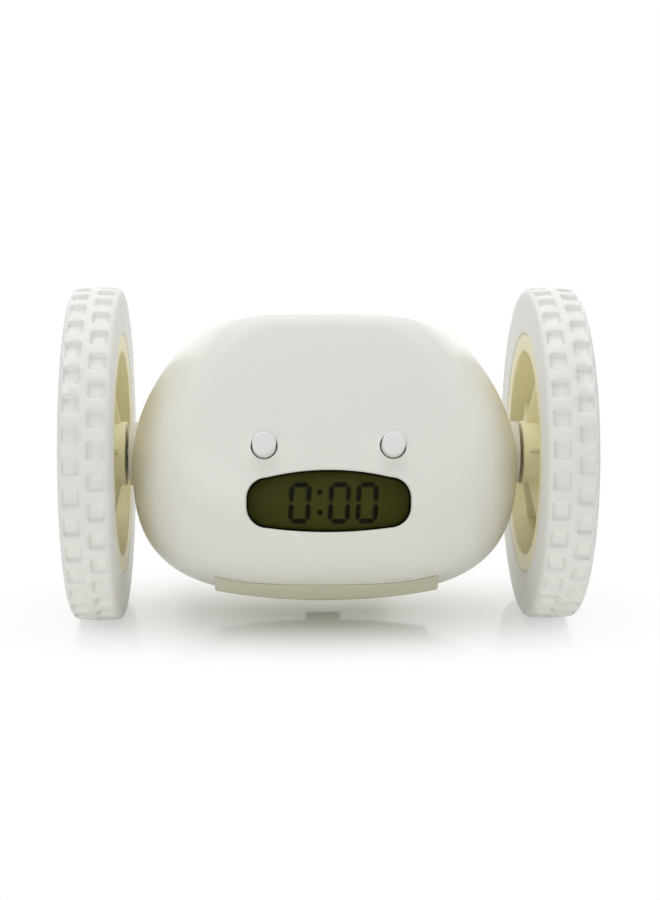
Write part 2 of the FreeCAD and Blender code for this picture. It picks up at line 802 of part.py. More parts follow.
def lcd_digits():
    faces = []
    for left in DIGIT_LEFTS:
        faces.extend(digit_faces(left))
    dot = size("digit_stroke") / 2.0
    solids = [face.extrude(Vector(0, -size("ink_thickness"), 0)) for face in faces]
    for rise in COLON_RISES:
        low = Vector(COLON_X - dot, -size("ink_thickness"), rise - dot)
        solids.append(Part.makeBox(2.0 * dot, size("ink_thickness"), 2.0 * dot, low))
    digits = Part.makeCompound(solids)
    digits.translate(Vector(0, LCD_FRONT, LEVEL_WINDOW - DIGIT_DROP))
    return digits


add_shape("lcd_digits", lcd_digits())


def main_board():
    low = size("main_board_bottom")
    high = size("main_board_top")
    half = size("main_board_width") / 2.0
    board = slab((-half, half), (BOARD_FRONT, BOARD_BACK), (low, high))
    return board.cut([y_rod(size("screw_radius") + 0.1, -FAR, 0, x, level) for x, level in BOARD_POSTS])


add_shape("main_board", main_board())


def y_screws(places, head_from, shank_to):
    """Small screws along Y with their heads at one face, driven towards the other."""
    towards = 1.0 if shank_to > head_from else -1.0
    head_depth = towards * 1.2
    screws = []
    for x, level in places:
        shank = y_rod(size("screw_radius"), min(head_from, shank_to), max(head_from, shank_to), x, level)
        head_start = min(head_from, head_from - head_depth)
        head = y_rod(size("screw_head_radius"), head_start, head_start + abs(head_depth), x, level)
        screws.append(shank.fuse(head))
    return Part.makeCompound(screws)


add_shape("main_board_screws", y_screws(BOARD_POSTS, BOARD_BACK, BOARD_FRONT - 3.0))

# ----------------------------------------------------------------------------------------
# Eye buttons and their dome switches
# ----------------------------------------------------------------------------------------
EYE_FLANGE_FRONT = -WALL - 0.35
EYE_FLANGE_BACK = EYE_FLANGE_FRONT - size("eye_flange_thickness")
EYE_SWITCH_FRONT = BOARD_FRONT - size("eye_switch_height")
EYE_STEM_END = -(EYE_SWITCH_FRONT - EYE_FACE) / math.cos(math.radians(size("face_tilt")))
EYE_STEM_END += size("eye_travel") + size("press_gap") + size("stem_radius") * face_sin


def far_rim(shape, x):
    """The round edge that lies at X."""
    return [edge for edge in shape.Edges if edge.BoundBox.XMin > x - 1e-6]


def eye_button():
    """A round pin with a soft front edge and a flange that keeps it in, drawn along +X from the face."""
    pin = x_rod(size("eye_radius"), EYE_FLANGE_BACK, size("eye_proud"))
    pin = pin.makeFillet(0.6, far_rim(pin, size("eye_proud")))
    flange = x_rod(size("eye_radius") + size("eye_flange"), EYE_FLANGE_BACK, EYE_FLANGE_FRONT)
    stem = x_rod(size("stem_radius"), EYE_STEM_END, EYE_FLANGE_BACK)
    return pin.multiFuse([flange, stem])


for label, frame in zip(("hour_button", "minute_button"), EYE_FRAMES):
    add_shape(label, placed(eye_button(), frame))


def square_switches(places, front, height):
    half = size("switch_size") / 2.0
    return Part.makeCompound(
        [slab((x - half, x + half), (front, front + height), (level - half, level + half)) for x, level in places]
    )


EYE_SWITCH_PLACES = []
for frame in EYE_FRAMES:
    foot = frame.multVec(Vector(EYE_STEM_END, 0, 0))
    EYE_SWITCH_PLACES.append((foot.x, foot.z))
add_shape("eye_switches", square_switches(EYE_SWITCH_PLACES, EYE_SWITCH_FRONT, size("eye_switch_height")))

# ----------------------------------------------------------------------------------------
# Snooze button on the back of the crown
# ----------------------------------------------------------------------------------------


def snooze_button():
    cap = leaned(capsule(size("snooze_length"), size("snooze_breadth"), SNOOZE_FLANGE_BOTTOM, FAR))
    cap = cap.common(body_solid(size("snooze_proud")))
    grow = 2.0 * size("eye_flange")
    flange = capsule(
        size("snooze_length") + grow, size("snooze_breadth") + grow, SNOOZE_FLANGE_BOTTOM, SNOOZE_FLANGE_TOP
    )
    return cap.fuse(leaned(flange))


def snooze_board():
    half = SNOOZE_POST_X + size("board_post_radius") - 0.6
    return leaned(slab((-half, half), SNOOZE_BOARD_SPAN, (SNOOZE_BOARD_BOTTOM, SNOOZE_BOARD_TOP)))


def snooze_switch():
    half = size("switch_size") / 2.0
    centre = sum(SNOOZE_BOARD_SPAN) / 2.0
    return leaned(slab((-half, half), (centre - half, centre + half), (SNOOZE_BOARD_TOP, SNOOZE_SWITCH_TOP)))


add_shape("snooze_button", snooze_button())
add_shape("snooze_board", snooze_board())
add_shape("snooze_switch", snooze_switch())

# ----------------------------------------------------------------------------------------
# Rear board, its two set buttons and the slide switch that turns the wheels on
# ----------------------------------------------------------------------------------------
REAR_LEVEL = size("rear_board_level")
SET_SWITCH_BACK = REAR_BOARD_BACK + size("switch_height")


def rear_board():
    half = size("rear_board_width") / 2.0
    rise = size("rear_board_height") / 2.0
    board = slab(
        (-half, half), (size("rear_board_front"), REAR_BOARD_BACK), (REAR_LEVEL - rise, REAR_LEVEL + rise)
    )
    return board.cut([y_rod(size("screw_radius") + 0.1, 0, FAR, x, REAR_LEVEL) for x in REAR_POSTS])


def set_button(x):
    """A round push button whose stem reaches the switch behind it."""
    surface = back_of(x, REAR_LEVEL)
    flange_radius = size("set_button_radius") + size("eye_flange")
    reach = flange_radius * math.sqrt(0.5)
    inner = back_of(x + math.copysign(reach, x), REAR_LEVEL + reach, -WALL)
    flange_back = min(inner, back_of(x, REAR_LEVEL + flange_radius, -WALL)) - size("eye_hole_gap")
    flange_front = flange_back - size("eye_flange_thickness")
    stem_end = SET_SWITCH_BACK + size("set_button_travel") + size("press_gap")
    pin = y_rod(size("set_button_radius"), flange_front, surface + size("set_button_proud"), x, REAR_LEVEL)
    flange = y_rod(flange_radius, flange_front, flange_back, x, REAR_LEVEL)
    stem = y_rod(size("stem_radius"), stem_end, flange_front, x, REAR_LEVEL)
    return pin.multiFuse([flange, stem])


def rear_switches():
    """Two push switches and the body of the slide switch, on the rear board."""
    pushes = square_switches([(x, REAR_LEVEL) for x in SET_PLACES], REAR_BOARD_BACK, size("switch_height"))
    half = SLIDER_HALF + 1.4
    rise = SLIDER_BREADTH + 1.0
    slide = slab((-half, half), (REAR_BOARD_BACK, SET_SWITCH_BACK), (REAR_LEVEL - rise, REAR_LEVEL + rise))
    well = slab(
        (-SLIDER_HALF - 0.1, SLIDER_HALF + 0.1),
        (REAR_BOARD_BACK + 1.0, FAR),
        (REAR_LEVEL - SLIDER_BREADTH - 0.1, REAR_LEVEL + SLIDER_BREADTH + 0.1),
    )
    return Part.makeCompound(pushes.Solids + [slide.cut(well)])


def wheel_switch():
    """The sliding lever that turns the runaway wheels on, standing at its off end."""
    tip = back_of(0.0, REAR_LEVEL) + 1.2
    start = -SLIDER_HALF
    return slab(
        (start, start + 2.4),
        (REAR_BOARD_BACK + 1.1, tip),
        (REAR_LEVEL - SLIDER_BREADTH, REAR_LEVEL + SLIDER_BREADTH),
    )


add_shape("rear_board", rear_board())
add_shape("rear_switches", rear_switches())
add_shape("alarm_set_button", set_button(SET_PLACES[0]))
add_shape("time_set_button", set_button(SET_PLACES[1]))
add_shape("wheel_switch", wheel_switch())
add_shape(
    "rear_board_screws",
    y_screws([(x, REAR_LEVEL) for x in REAR_POSTS], size("rear_board_front"), REAR_BOARD_BACK + 4.0),
)

# ----------------------------------------------------------------------------------------
# Speaker
# ----------------------------------------------------------------------------------------
speaker_back = Vector(0, size("speaker_seat"), size("speaker_level"))
speaker_rim = rod("speaker_rim", "Sizes.speaker_radius", "Sizes.speaker_rim", speaker_back, TO_FRONT)
speaker_magnet = rod(
    "speaker_magnet", "0.6 * Sizes.speaker_radius", "Sizes.speaker_depth", speaker_back, TO_FRONT
)
finish(fuse("speaker_solid", [speaker_rim, speaker_magnet]), "speaker")

# ----------------------------------------------------------------------------------------
# Battery bay: two layers of two cells in a moulded tray, closed by the door below
# ----------------------------------------------------------------------------------------


def battery_tray():
    wall = size("tray_wall")
    outer = slab(
        (-TRAY_HALF_X - wall, TRAY_HALF_X + wall),
        (-TRAY_HALF_Y - wall, TRAY_HALF_Y + wall),
        (-FAR, TRAY_TOP + wall),
    )
    well = slab((-TRAY_HALF_X, TRAY_HALF_X), (-TRAY_HALF_Y, TRAY_HALF_Y), (-FAR, TRAY_TOP))
    return outer.cut(well).common(inner_form)


CELL_Y = size("cell_radius") + size("cell_gap") / 2.0
CELL_LEVELS = (size("cell_level"), size("cell_level") + 2.0 * size("cell_radius") + size("cell_gap"))


def cell_places():
    """Each cell's place and the way its button end points: neighbours alternate."""
    for row, level in enumerate(CELL_LEVELS):
        for column, y in enumerate((-CELL_Y, CELL_Y)):
            yield y, level, (1 if (row + column) % 2 == 0 else -1)


def battery_cells():
    cells = []
    half = size("cell_length") / 2.0
    for y, level, points in cell_places():
        can = x_rod(size("cell_radius"), -half, half, y, level)
        button = x_rod(1.9, half, half + size("cell_button"), y, level)
        cells.append(can.fuse(mirrored(button, points)))
    return Part.makeCompound(cells)


def battery_contacts():
    """A flat plate at each button end and a coil spring's cone at each flat end."""
    metal = size("contact_thickness")
    half = size("cell_length") / 2.0
    pieces = []
    for y, level, points in cell_places():
        flat = slab(
            (TRAY_HALF_X - metal, TRAY_HALF_X), (y - 3.6, y + 3.6), (level - 3.6, level + 3.6)
        )
        pieces.append(mirrored(flat, points))
        plate = flat.copy()
        spring = Part.makeCone(2.6, 3.6, TRAY_HALF_X - metal - half, Vector(half, y, level), X_AXIS)
        hollow = Part.makeCone(1.8, 2.8, TRAY_HALF_X - metal - half, Vector(half, y, level), X_AXIS)
        pieces.append(mirrored(plate.fuse(spring.cut(hollow)), -points))
    return Part.makeCompound(pieces)


add_shape("battery_tray", battery_tray())
add_shape("battery_cells", battery_cells())
add_shape("battery_contacts", battery_contacts())


def battery_door():
    """A crowned cover proud of the base, with a sloping front lip and a finger tab behind."""
    front = size("door_front")
    back = size("door_back")
    bottom = size("door_bottom")
    slope = size("door_lip_slope")
    top = bottom + WALL + 6.0
    profile = [
        Vector(-DOOR_HALF, front, top),
        Vector(-DOOR_HALF, front, bottom + slope),
        Vector(-DOOR_HALF, front + slope * 0.8, bottom),
        Vector(-DOOR_HALF, back, bottom),
        Vector(-DOOR_HALF, back, top),
    ]
    panel = Part.Face(Part.makePolygon(profile + profile[:1])).extrude(Vector(2.0 * DOOR_HALF, 0, 0))
    crown = y_rod(size("door_crown_radius"), -FAR, FAR, 0, bottom + size("door_crown_radius"))
    tab = slab(
        (-size("tab_width") / 2.0, size("tab_width") / 2.0),
        (back - 1.0, back + size("tab_reach")),
        (bottom - size("tab_drop"), bottom + 1.2),
    )
    plug = slab(
        (-DOOR_HOLE_X + size("door_gap"), DOOR_HOLE_X - size("door_gap")),
        (DOOR_HOLE_Y[0] + size("door_gap"), DOOR_HOLE_Y[1] - size("door_gap")),
        (bottom + 0.5, size("cell_level") - size("cell_radius") - size("cell_gap")),
    )
    cover = panel.common(crown).cut(body_solid(size("door_gap")))
    return cover.multiFuse([tab, plug.common(crown)])


add_shape("battery_door", battery_door())

# ----------------------------------------------------------------------------------------
# Drive: on each side a flat motor turns the axle through two stages of gears
# ----------------------------------------------------------------------------------------
PRESSURE = math.radians(20.0)
FLANK_STEPS = 3
WHEEL_ADDENDUM = 0.75
WHEEL_DEDENDUM = 1.3
PINION_ADDENDUM = 1.0
PINION_DEDENDUM = 1.1


def involute(angle):
    return math.tan(angle) - angle


def gear(teeth, addendum, dedendum, start, end, phase):
    """A spur gear along X about its own axis, with one tooth centred at the phase angle."""
    pitch = MODULE * teeth / 2.0
    base = pitch * math.cos(PRESSURE)
    tip = pitch + addendum * MODULE
    root = pitch - dedendum * MODULE
    half_tooth = (math.pi * MODULE / 2.0 - size("backlash") / 2.0) / (2.0 * pitch) + involute(PRESSURE)
    foot = max(base, root)
    flank = []
    if root < base:
        flank.append((root, half_tooth))
    for step in range(FLANK_STEPS + 1):
        reach = foot + (tip - foot) * step / FLANK_STEPS
        flank.append((reach, half_tooth - involute(math.acos(base / reach))))
    points = []
    for tooth in range(int(teeth)):
        middle = phase + 2.0 * math.pi * tooth / int(teeth)
        for reach, half in flank:
            points.append(Vector(start, reach * math.cos(middle - half), reach * math.sin(middle - half)))
        for reach, half in reversed(flank):
            points.append(Vector(start, reach * math.cos(middle + half), reach * math.sin(middle + half)))
    return Part.Face(Part.makePolygon(points + points[:1])).extrude(Vector(end - start, 0, 0))


def moved_to(shape, y, level):
    return placed(shape, Placement(Vector(0, y, level), Rotation()))


def output_gear():
    teeth = gear(
        size("output_teeth"), WHEEL_ADDENDUM, WHEEL_DEDENDUM, OUTPUT_START, OUTPUT_END, IDLER_TURN
    )
    return teeth.cut(x_rod(size("axle_radius"), 0, FAR))


def idler_gear():
    wheel = gear(size("idler_teeth"), WHEEL_ADDENDUM, WHEEL_DEDENDUM, GEAR_START, GEAR_END, PINION_TURN)
    half_pitch = math.pi / size("pinion_teeth")
    phase = IDLER_TURN + math.pi + half_pitch
    pinion = gear(size("pinion_teeth"), PINION_ADDENDUM, PINION_DEDENDUM, GEAR_END, OUTPUT_END, phase)
    bore = x_rod(size("idler_pin_radius") + size("running_gap"), 0, FAR)
    return moved_to(wheel.fuse(pinion).cut(bore), IDLER_Y, IDLER_Z)


def motor_pinion():
    phase = PINION_TURN + math.pi + math.pi / size("pinion_teeth")
    teeth = gear(size("pinion_teeth"), PINION_ADDENDUM, PINION_DEDENDUM, GEAR_START, GEAR_END, phase)
    return moved_to(teeth.cut(x_rod(size("shaft_radius"), 0, FAR)), PINION_Y, PINION_Z)


FRAME_Y = (-12.0, LUG_BACK)
FRAME_LEVELS = (-14.6, PINION_Z + size("motor_height") / 2.0 + 0.3)
SPACER_REACH = 13.6
SPACER_RADIUS = 1.5


def gearbox_frame():
    """The side plate that carries the motor and gears, with spacers outside it and a lug behind."""
    plate = slab((size("gearbox_plane"), FRAME_OUTER), FRAME_Y, FRAME_LEVELS)
    lug_low = LUG_LEVELS[1] - size("board_post_radius")
    lug_high = LUG_LEVELS[0] + size("board_post_radius")
    lug_inner = LUG_X - size("board_post_radius") - 0.6
    lug = slab((lug_inner, FRAME_OUTER), (LUG_BACK - LUG_THICKNESS, LUG_BACK), (lug_low, lug_high))
    spacers = []
    holes = [
        x_rod(size("axle_radius") + size("running_gap"), 0, FAR),
        x_rod(size("idler_pin_radius"), 0, FAR, IDLER_Y, IDLER_Z),
        x_rod(size("shaft_radius") + 2.2, 0, FAR, PINION_Y, PINION_Z),
    ]
    for quarter in (1, 2, 3):
        turn = math.pi / 4.0 + math.pi / 2.0 * quarter
        y = SPACER_REACH * math.cos(turn)
        level = SPACER_REACH * math.sin(turn)
        spacers.append(x_rod(SPACER_RADIUS, size("gearbox_plane"), COVER_START, y, level))
    for level in LUG_LEVELS:
        holes.append(y_rod(size("screw_radius") + 0.1, 0, FAR, LUG_X, level))
    return plate.multiFuse([lug] + spacers).cut(holes)


def motor():
    """A flat-sided motor can with the bearing that its shaft runs in."""
    start = size("gearbox_plane") - size("motor_length")
    end = size("gearbox_plane")
    can = x_rod(size("motor_diameter") / 2.0, start, end)
    half = size("motor_height") / 2.0
    can = can.common(slab((start, end), (-FAR, FAR), (-half, half)))
    bore = x_rod(size("shaft_radius") + size("running_gap"), end - 4.0, FAR)
    return moved_to(can.cut(bore), PINION_Y, PINION_Z)


def side_rod(name, side, radius, start, end, y=0.0, level=0.0):
    """A rod along X on either side of the clock: its ends are (number, expression) pairs."""
    x = start[0] if side > 0 else -end[0]
    return rod(name, radius, "(%s) - (%s)" % (end[1], start[1]), Vector(x, y, level), TO_X)


def side_tube(label, side, outer, inner, start, end, frame):
    """A plain tube along X between two (number, expression) ends."""
    shell = side_rod(label + "_outside", side, outer, start, end)
    bore = side_rod(label + "_bore", side, inner, start, end)
    return finish(cut(label + "_tube", shell, bore), label, frame)


COVER_SPAN = (
    total("gearbox_plane", "frame_plate", "gear_gap", "gear_width", "gear_gap", "output_width", "gear_gap"),
    total(
        "gearbox_plane", "frame_plate", "gear_gap", "gear_width", "gear_gap", "output_width", "gear_gap",
        "cover_plate",
    ),
)
PLANE = total("gearbox_plane")
BOSS_SPAN = (total("boss_end", "-boss_depth"), total("boss_end"))
AXLE_SPAN = (
    total("gearbox_plane"),
    total("web_inner_face", "web_thickness", "nut_seat", "nut_height", "nut_seat"),
)
SHAFT_SPAN = (
    total("gearbox_plane", "-shaft_depth"),
    total("gearbox_plane", "frame_plate", "gear_gap", "gear_width"),
)

for name, side in SIDES:
    finish(
        side_rod("axle_rod_" + name, side, "Sizes.axle_radius", AXLE_SPAN[0], AXLE_SPAN[1]),
        "axle_" + name,
        WHEEL_FRAME,
    )
    add_shape("output_gear_" + name, mirrored(output_gear(), side))
    add_shape("idler_gear_" + name, mirrored(idler_gear(), side))
    finish(
        side_rod(
            "idler_rod_" + name, side, "Sizes.idler_pin_radius", PLANE, COVER_SPAN[1], IDLER_Y, IDLER_Z
        ),
        "idler_pin_" + name,
    )
    add_shape("motor_pinion_" + name, mirrored(motor_pinion(), side))
    finish(
        side_rod(
            "shaft_rod_" + name, side, "Sizes.shaft_radius", SHAFT_SPAN[0], SHAFT_SPAN[1], PINION_Y, PINION_Z
        ),
        "motor_shaft_" + name,
    )
    add_shape("motor_" + name, mirrored(motor(), side))
    add_shape("gearbox_frame_" + name, mirrored(gearbox_frame(), side))
    disc = side_rod("cover_disc_" + name, side, "Sizes.cover_radius", COVER_SPAN[0], COVER_SPAN[1])
    axle_hole = side_rod(
        "cover_bore_" + name, side, "Sizes.axle_radius + Sizes.running_gap", COVER_SPAN[0], COVER_SPAN[1]
    )
    pin_hole = side_rod(
        "cover_pin_hole_" + name, side, "Sizes.idler_pin_radius", COVER_SPAN[0], COVER_SPAN[1],
        IDLER_Y, IDLER_Z,
    )
    cover_holes = fuse("cover_holes_" + name, [axle_hole, pin_hole])
    finish(cut("cover_plate_" + name, disc, cover_holes), "gearbox_cover_" + name)
    lug_places = [(side * LUG_X, level) for level in LUG_LEVELS]
    add_shape("gearbox_screws_" + name, y_screws(lug_places, LUG_BACK - LUG_THICKNESS, LUG_BACK + 4.0))
    side_tube(
        "bushing_" + name,
        side,
        "Sizes.bushing_radius",
        "Sizes.axle_radius + Sizes.running_gap",
        BOSS_SPAN[0],
        BOSS_SPAN[1],
        BODY_FRAME,
    )

# ----------------------------------------------------------------------------------------
# Wheels: a spoked hub, a treaded tyre stretched over its rim, an outer disc and an axle nut
# ----------------------------------------------------------------------------------------


def tyre():
    """A broad tyre with two staggered rows of square pockets and a narrow flat to each pitch."""
    inner = size("wheel_inner_face")
    outer = WHEEL_OUTER
    pitches = int(size("tread_pitches"))
    corner = size("wheel_radius") / math.cos(math.pi / pitches)
    blank = x_rod(corner, inner, outer)
    rims = [
        edge for edge in blank.Edges
        if edge.Curve.TypeId == "Part::GeomCircle"
    ]
    blank = blank.makeFillet(size("tyre_edge"), rims).cut(x_rod(size("tyre_bore"), inner - 1.0, outer + 1.0))
    half = size("tread_pocket_length") / 2.0
    floor = size("wheel_radius") - size("tread_depth")
    pockets = []
    for row in (0, 1):
        start = inner + size("tread_inner_band") + row * (size("tread_pocket_width") + size("tread_row_gap"))
        span = (start, start + size("tread_pocket_width"))
        for pitch in range(pitches):
            pocket = slab(span, (-half, half), (floor, size("wheel_radius") + 1.0))
            pocket.rotate(Vector(), X_AXIS, 360.0 * (pitch + 0.5 * row) / pitches)
            pockets.append(pocket)
    treaded = blank.cut(pockets)
    treaded.rotate(Vector(), X_AXIS, size("tread_turn"))
    turns = [2.0 * math.pi * (pitch + 0.5) / pitches for pitch in range(pitches + 1)]
    ring = [Vector(inner - 1.0, corner * math.sin(turn), corner * math.cos(turn)) for turn in turns]
    flats = Part.Face(Part.makePolygon(ring)).extrude(Vector(outer - inner + 2.0, 0.0, 0.0))
    return treaded.common(flats)


def spoked_hub(name, side):
    """Tube, web and rim turned in one, with ribs on the inner side of the web."""
    rim_outer = total("tyre_bore", "-tyre_fit_gap")
    rim_inner = total("tyre_bore", "-tyre_fit_gap", "-rim_thickness")
    start = total("boss_end", "hub_gap")
    web_inner = total("web_inner_face")
    web_outer = total("web_inner_face", "web_thickness")
    tube_end = total("web_inner_face", "web_thickness", "nut_seat")
    rim_start = total("wheel_inner_face", "rim_recess")
    rim_end = total("wheel_inner_face", "tyre_width", "-rim_recess", "-rim_recess")
    bore = total("axle_radius")
    hub = total("hub_radius")
    label = "wheel_hub_" + name
    body = doc.addObject("PartDesign::Body", label)
    outline = [
        (start, bore), (tube_end, bore), (tube_end, hub), (web_outer, hub), (web_outer, rim_inner),
        (rim_end, rim_inner), (rim_end, rim_outer), (rim_start, rim_outer), (rim_start, rim_inner),
        (web_inner, rim_inner), (web_inner, hub), (start, hub),
    ]
    sketch = polygon_sketch(body, label + "_profile", "XY_Plane", outline)
    turn = body.newObject("PartDesign::Revolution", label + "_turn")
    turn.Profile = sketch
    turn.ReferenceAxis = (sketch, ["H_Axis"])
    turn.Angle = 360.0
    doc.recompute()
    bury = total("hub_radius", "-rib_bury")
    reach = total("tyre_bore", "-tyre_fit_gap", "-rim_thickness", "rib_bury")
    web = total("web_inner_face", "rib_bury")
    rib_outline = [(total("rib_hub_edge"), bury), (web, bury), (web, reach), (total("rib_rim_edge"), reach)]
    rib_sketch = polygon_sketch(body, label + "_rib_profile", "XY_Plane", rib_outline)
    rib = body.newObject("PartDesign::Pad", label + "_rib")
    rib.Profile = rib_sketch
    rib.setExpression("Length", "Sizes.rib_thickness")
    rib.SideType = "Symmetric"
    doc.recompute()
    ribs = body.newObject("PartDesign::PolarPattern", label + "_ribs")
    ribs.Originals = [rib]
    ribs.Axis = (body.Origin.OriginFeatures[0], [""])
    ribs.Angle = 360.0
    ribs.setExpression("Occurrences", "Sizes.rib_count")
    body.Tip = ribs
    return finish(body, label, WHEEL_FRAME.multiply(Placement(Vector(), wheel_turn(side))))


def wheel_turn(side):
    """Ribs start from straight up; the left wheel faces the other way."""
    upright = Rotation(X_AXIS, 90)
    return upright if side > 0 else Rotation(Z_AXIS, 180).multiply(upright)


def wheel_cap(name, side):
    edge = total("tyre_bore", "-tyre_fit_gap", "-rim_thickness", "-running_gap")
    skirt = total("tyre_bore", "-tyre_fit_gap", "-rim_thickness", "-running_gap", "-cap_skirt")
    seat = total("web_inner_face", "web_thickness")
    outer = total("wheel_inner_face", "tyre_width", "-cap_recess")
    inner = total("wheel_inner_face", "tyre_width", "-cap_recess", "-cap_thickness")
    middle = (0.0, "0")
    outline = [
        (seat, skirt), (seat, edge), (outer, edge), (outer, middle), (inner, middle), (inner, skirt)
    ]
    return revolved("wheel_cap_" + name, outline, WHEEL_FRAME.multiply(Placement(Vector(), wheel_turn(side))))


def axle_nut(name, side):
    """A hexagon nut that holds the hub on the axle's threaded end."""
    nut = doc.addObject("Part::Prism", "nut_block_" + name)
    nut.Polygon = 6
    nut.setExpression("Circumradius", "Sizes.nut_width / sqrt(3)")
    nut.setExpression("Height", "Sizes.nut_height")
    start = total("web_inner_face", "web_thickness", "nut_seat")
    x = start[0] if side > 0 else -start[0] - size("nut_height")
    nut.Placement = Placement(Vector(x, 0, 0), TO_X)
    end = total("web_inner_face", "web_thickness", "nut_seat", "nut_height")
    bore = side_rod("nut_bore_" + name, side, "Sizes.axle_radius", start, end)
    return finish(cut("nut_" + name, nut, bore), "axle_nut_" + name, WHEEL_FRAME)


right_tyre = tyre()
for name, side in SIDES:
    add_shape("tyre_" + name, mirrored(right_tyre, side), WHEEL_FRAME)
    spoked_hub(name, side)
    wheel_cap(name, side)
    axle_nut(name, side)

# ----------------------------------------------------------------------------------------
# Check and write
# ----------------------------------------------------------------------------------------
doc.recompute()
for obj in doc.Objects:
    if "Invalid" in obj.State or "Error" in obj.State:
        raise RuntimeError("%s did not build: %s" % (obj.Label, obj.State))
for obj in subparts:
    if obj.Shape.isNull() or not obj.Shape.isValid() or not obj.Shape.Solids:
        raise RuntimeError("%s has no valid solid" % obj.Label)
os.makedirs("parts", exist_ok=True)
for obj in subparts:
    obj.Shape.exportStep("parts/%s.step" % obj.Label)
    print(obj.Label, len(obj.Shape.Solids), "solids, %.1f mm3" % obj.Shape.Volume)
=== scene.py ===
# %% [markdown]
# # A runaway alarm clock
# The clock is a rounded plastic body slung between two big treaded wheels. Its moving parts and
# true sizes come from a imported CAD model, which this lesson loads as a fixed frame. We then dress
# the frame: every face that can be seen gets a finer mesh and a finish made of shader nodes.

# %% Load the frame
import json
import math

import bpy
import numpy as np
from mathutils import Matrix, Vector


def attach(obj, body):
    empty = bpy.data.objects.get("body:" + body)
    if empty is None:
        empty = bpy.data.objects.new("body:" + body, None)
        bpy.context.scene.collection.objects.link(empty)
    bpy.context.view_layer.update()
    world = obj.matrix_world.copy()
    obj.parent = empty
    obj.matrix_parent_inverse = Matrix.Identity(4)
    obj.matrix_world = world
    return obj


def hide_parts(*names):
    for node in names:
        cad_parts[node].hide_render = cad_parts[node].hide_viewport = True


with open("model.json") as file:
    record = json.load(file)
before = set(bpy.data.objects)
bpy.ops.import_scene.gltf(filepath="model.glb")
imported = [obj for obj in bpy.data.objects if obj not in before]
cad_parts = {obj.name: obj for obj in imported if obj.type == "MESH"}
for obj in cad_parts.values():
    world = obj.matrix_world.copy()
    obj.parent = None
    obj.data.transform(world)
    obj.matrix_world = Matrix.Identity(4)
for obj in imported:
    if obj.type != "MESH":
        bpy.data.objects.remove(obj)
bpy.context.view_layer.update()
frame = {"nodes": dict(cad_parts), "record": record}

nodes = frame["nodes"]

# %% [markdown]
# ## Two drawing spaces
# The wheels stand upright, while the body leans back about the axle. It is easiest to draw each
# piece upright, in millimetres from the axle, and to carry it into the frame with one matrix.

# %% Drawing spaces
MM, CREASE = 0.001, 40.0
WHEEL_RADIUS = 44.0
LEAN = math.radians(16.5)
to_axle = Matrix.Translation((0.0, 0.0, WHEEL_RADIUS * MM))
WHEEL_SPACE = to_axle @ Matrix.Scale(MM, 4)
BODY_SPACE = to_axle @ Matrix.Rotation(-LEAN, 4, "X") @ Matrix.Scale(MM, 4)
print("axle height", WHEEL_RADIUS, "mm, body leans", round(math.degrees(LEAN), 1), "degrees")


def new_piece(name, points, faces, space):
    """A mesh object from millimetre points, carried into the frame."""
    mesh = bpy.data.meshes.new(name)
    mesh.from_pydata([tuple(map(float, p)) for p in points], [], [tuple(map(int, f)) for f in faces])
    mesh.transform(space)
    mesh.update()
    made = bpy.data.objects.new(name, mesh)
    bpy.context.scene.collection.objects.link(made)
    return made


def smooth(obj, angle=CREASE):
    """Smooth shading that keeps edges sharper than the angle."""
    obj.data.polygons.foreach_set("use_smooth", [True] * len(obj.data.polygons))
    obj.data.set_sharp_from_angle(angle=math.radians(angle))
    return obj


def dress(obj, body, slot, *stands_for, material=None):
    """The piece's body, material slot and the CAD nodes it stands for, and the slot's finish."""
    obj.data.materials.clear()
    obj.data.materials.append(material or FINISHES[slot])
    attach(obj, body)
    if stands_for:
        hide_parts(*stands_for)
    print("%-16s %6d faces on %s" % (obj.name, len(obj.data.polygons), body))
    return obj


# %% [markdown]
# ## Camera
# A short telephoto lens about half a metre away keeps the wheels nearly round and still shows
# their inner sides. The camera looks slightly down at the axle, and turns a little to one side.

# %% Camera
FRAME_WIDTH, FRAME_HEIGHT = 660.0, 900.0
FOCAL_PIXELS = 1713.2
AXLE_PIXEL = (324.2, 453.18)
CAMERA_DISTANCE = 0.4576
AZIMUTH, ELEVATION, ROLL = (math.radians(v) for v in (-2.0, 14.15, 0.35))

backward = Vector((
    math.sin(AZIMUTH) * math.cos(ELEVATION),
    -math.cos(AZIMUTH) * math.cos(ELEVATION),
    math.sin(ELEVATION),
))
level_right = (-backward).cross(Vector((0, 0, 1))).normalized()
level_up = level_right.cross(-backward)
right = level_right * math.cos(ROLL) + level_up * math.sin(ROLL)
up = level_up * math.cos(ROLL) - level_right * math.sin(ROLL)
camera_data = bpy.data.cameras.new("studio_camera")
camera_data.sensor_fit = "HORIZONTAL"
camera_data.sensor_width = 36.0
camera_data.lens = camera_data.sensor_width * FOCAL_PIXELS / FRAME_WIDTH
camera_data.shift_x = (FRAME_WIDTH / 2.0 - AXLE_PIXEL[0]) / FRAME_WIDTH
camera_data.shift_y = (AXLE_PIXEL[1] - FRAME_HEIGHT / 2.0) / FRAME_WIDTH
camera = bpy.data.objects.new("studio_camera", camera_data)
turn = Matrix((right, up, backward)).transposed().to_4x4()
camera.matrix_world = Matrix.Translation(to_axle.translation + backward * CAMERA_DISTANCE) @ turn
bpy.context.scene.collection.objects.link(camera)
bpy.context.scene.camera = camera
print("lens %.1f mm at %.0f mm from the axle" % (camera_data.lens, 1000 * CAMERA_DISTANCE))

# %% [markdown]
# ## Soft studio light
# White plastic shows its shape only through gentle differences in brightness. A large soft lamp
# overhead makes the crown the lightest part, a weaker front panel keeps the face a step darker,
# a low strip reaches under the chin and two panels behind light the inner sides of the wheels.
# The world fills in a little from everywhere else.

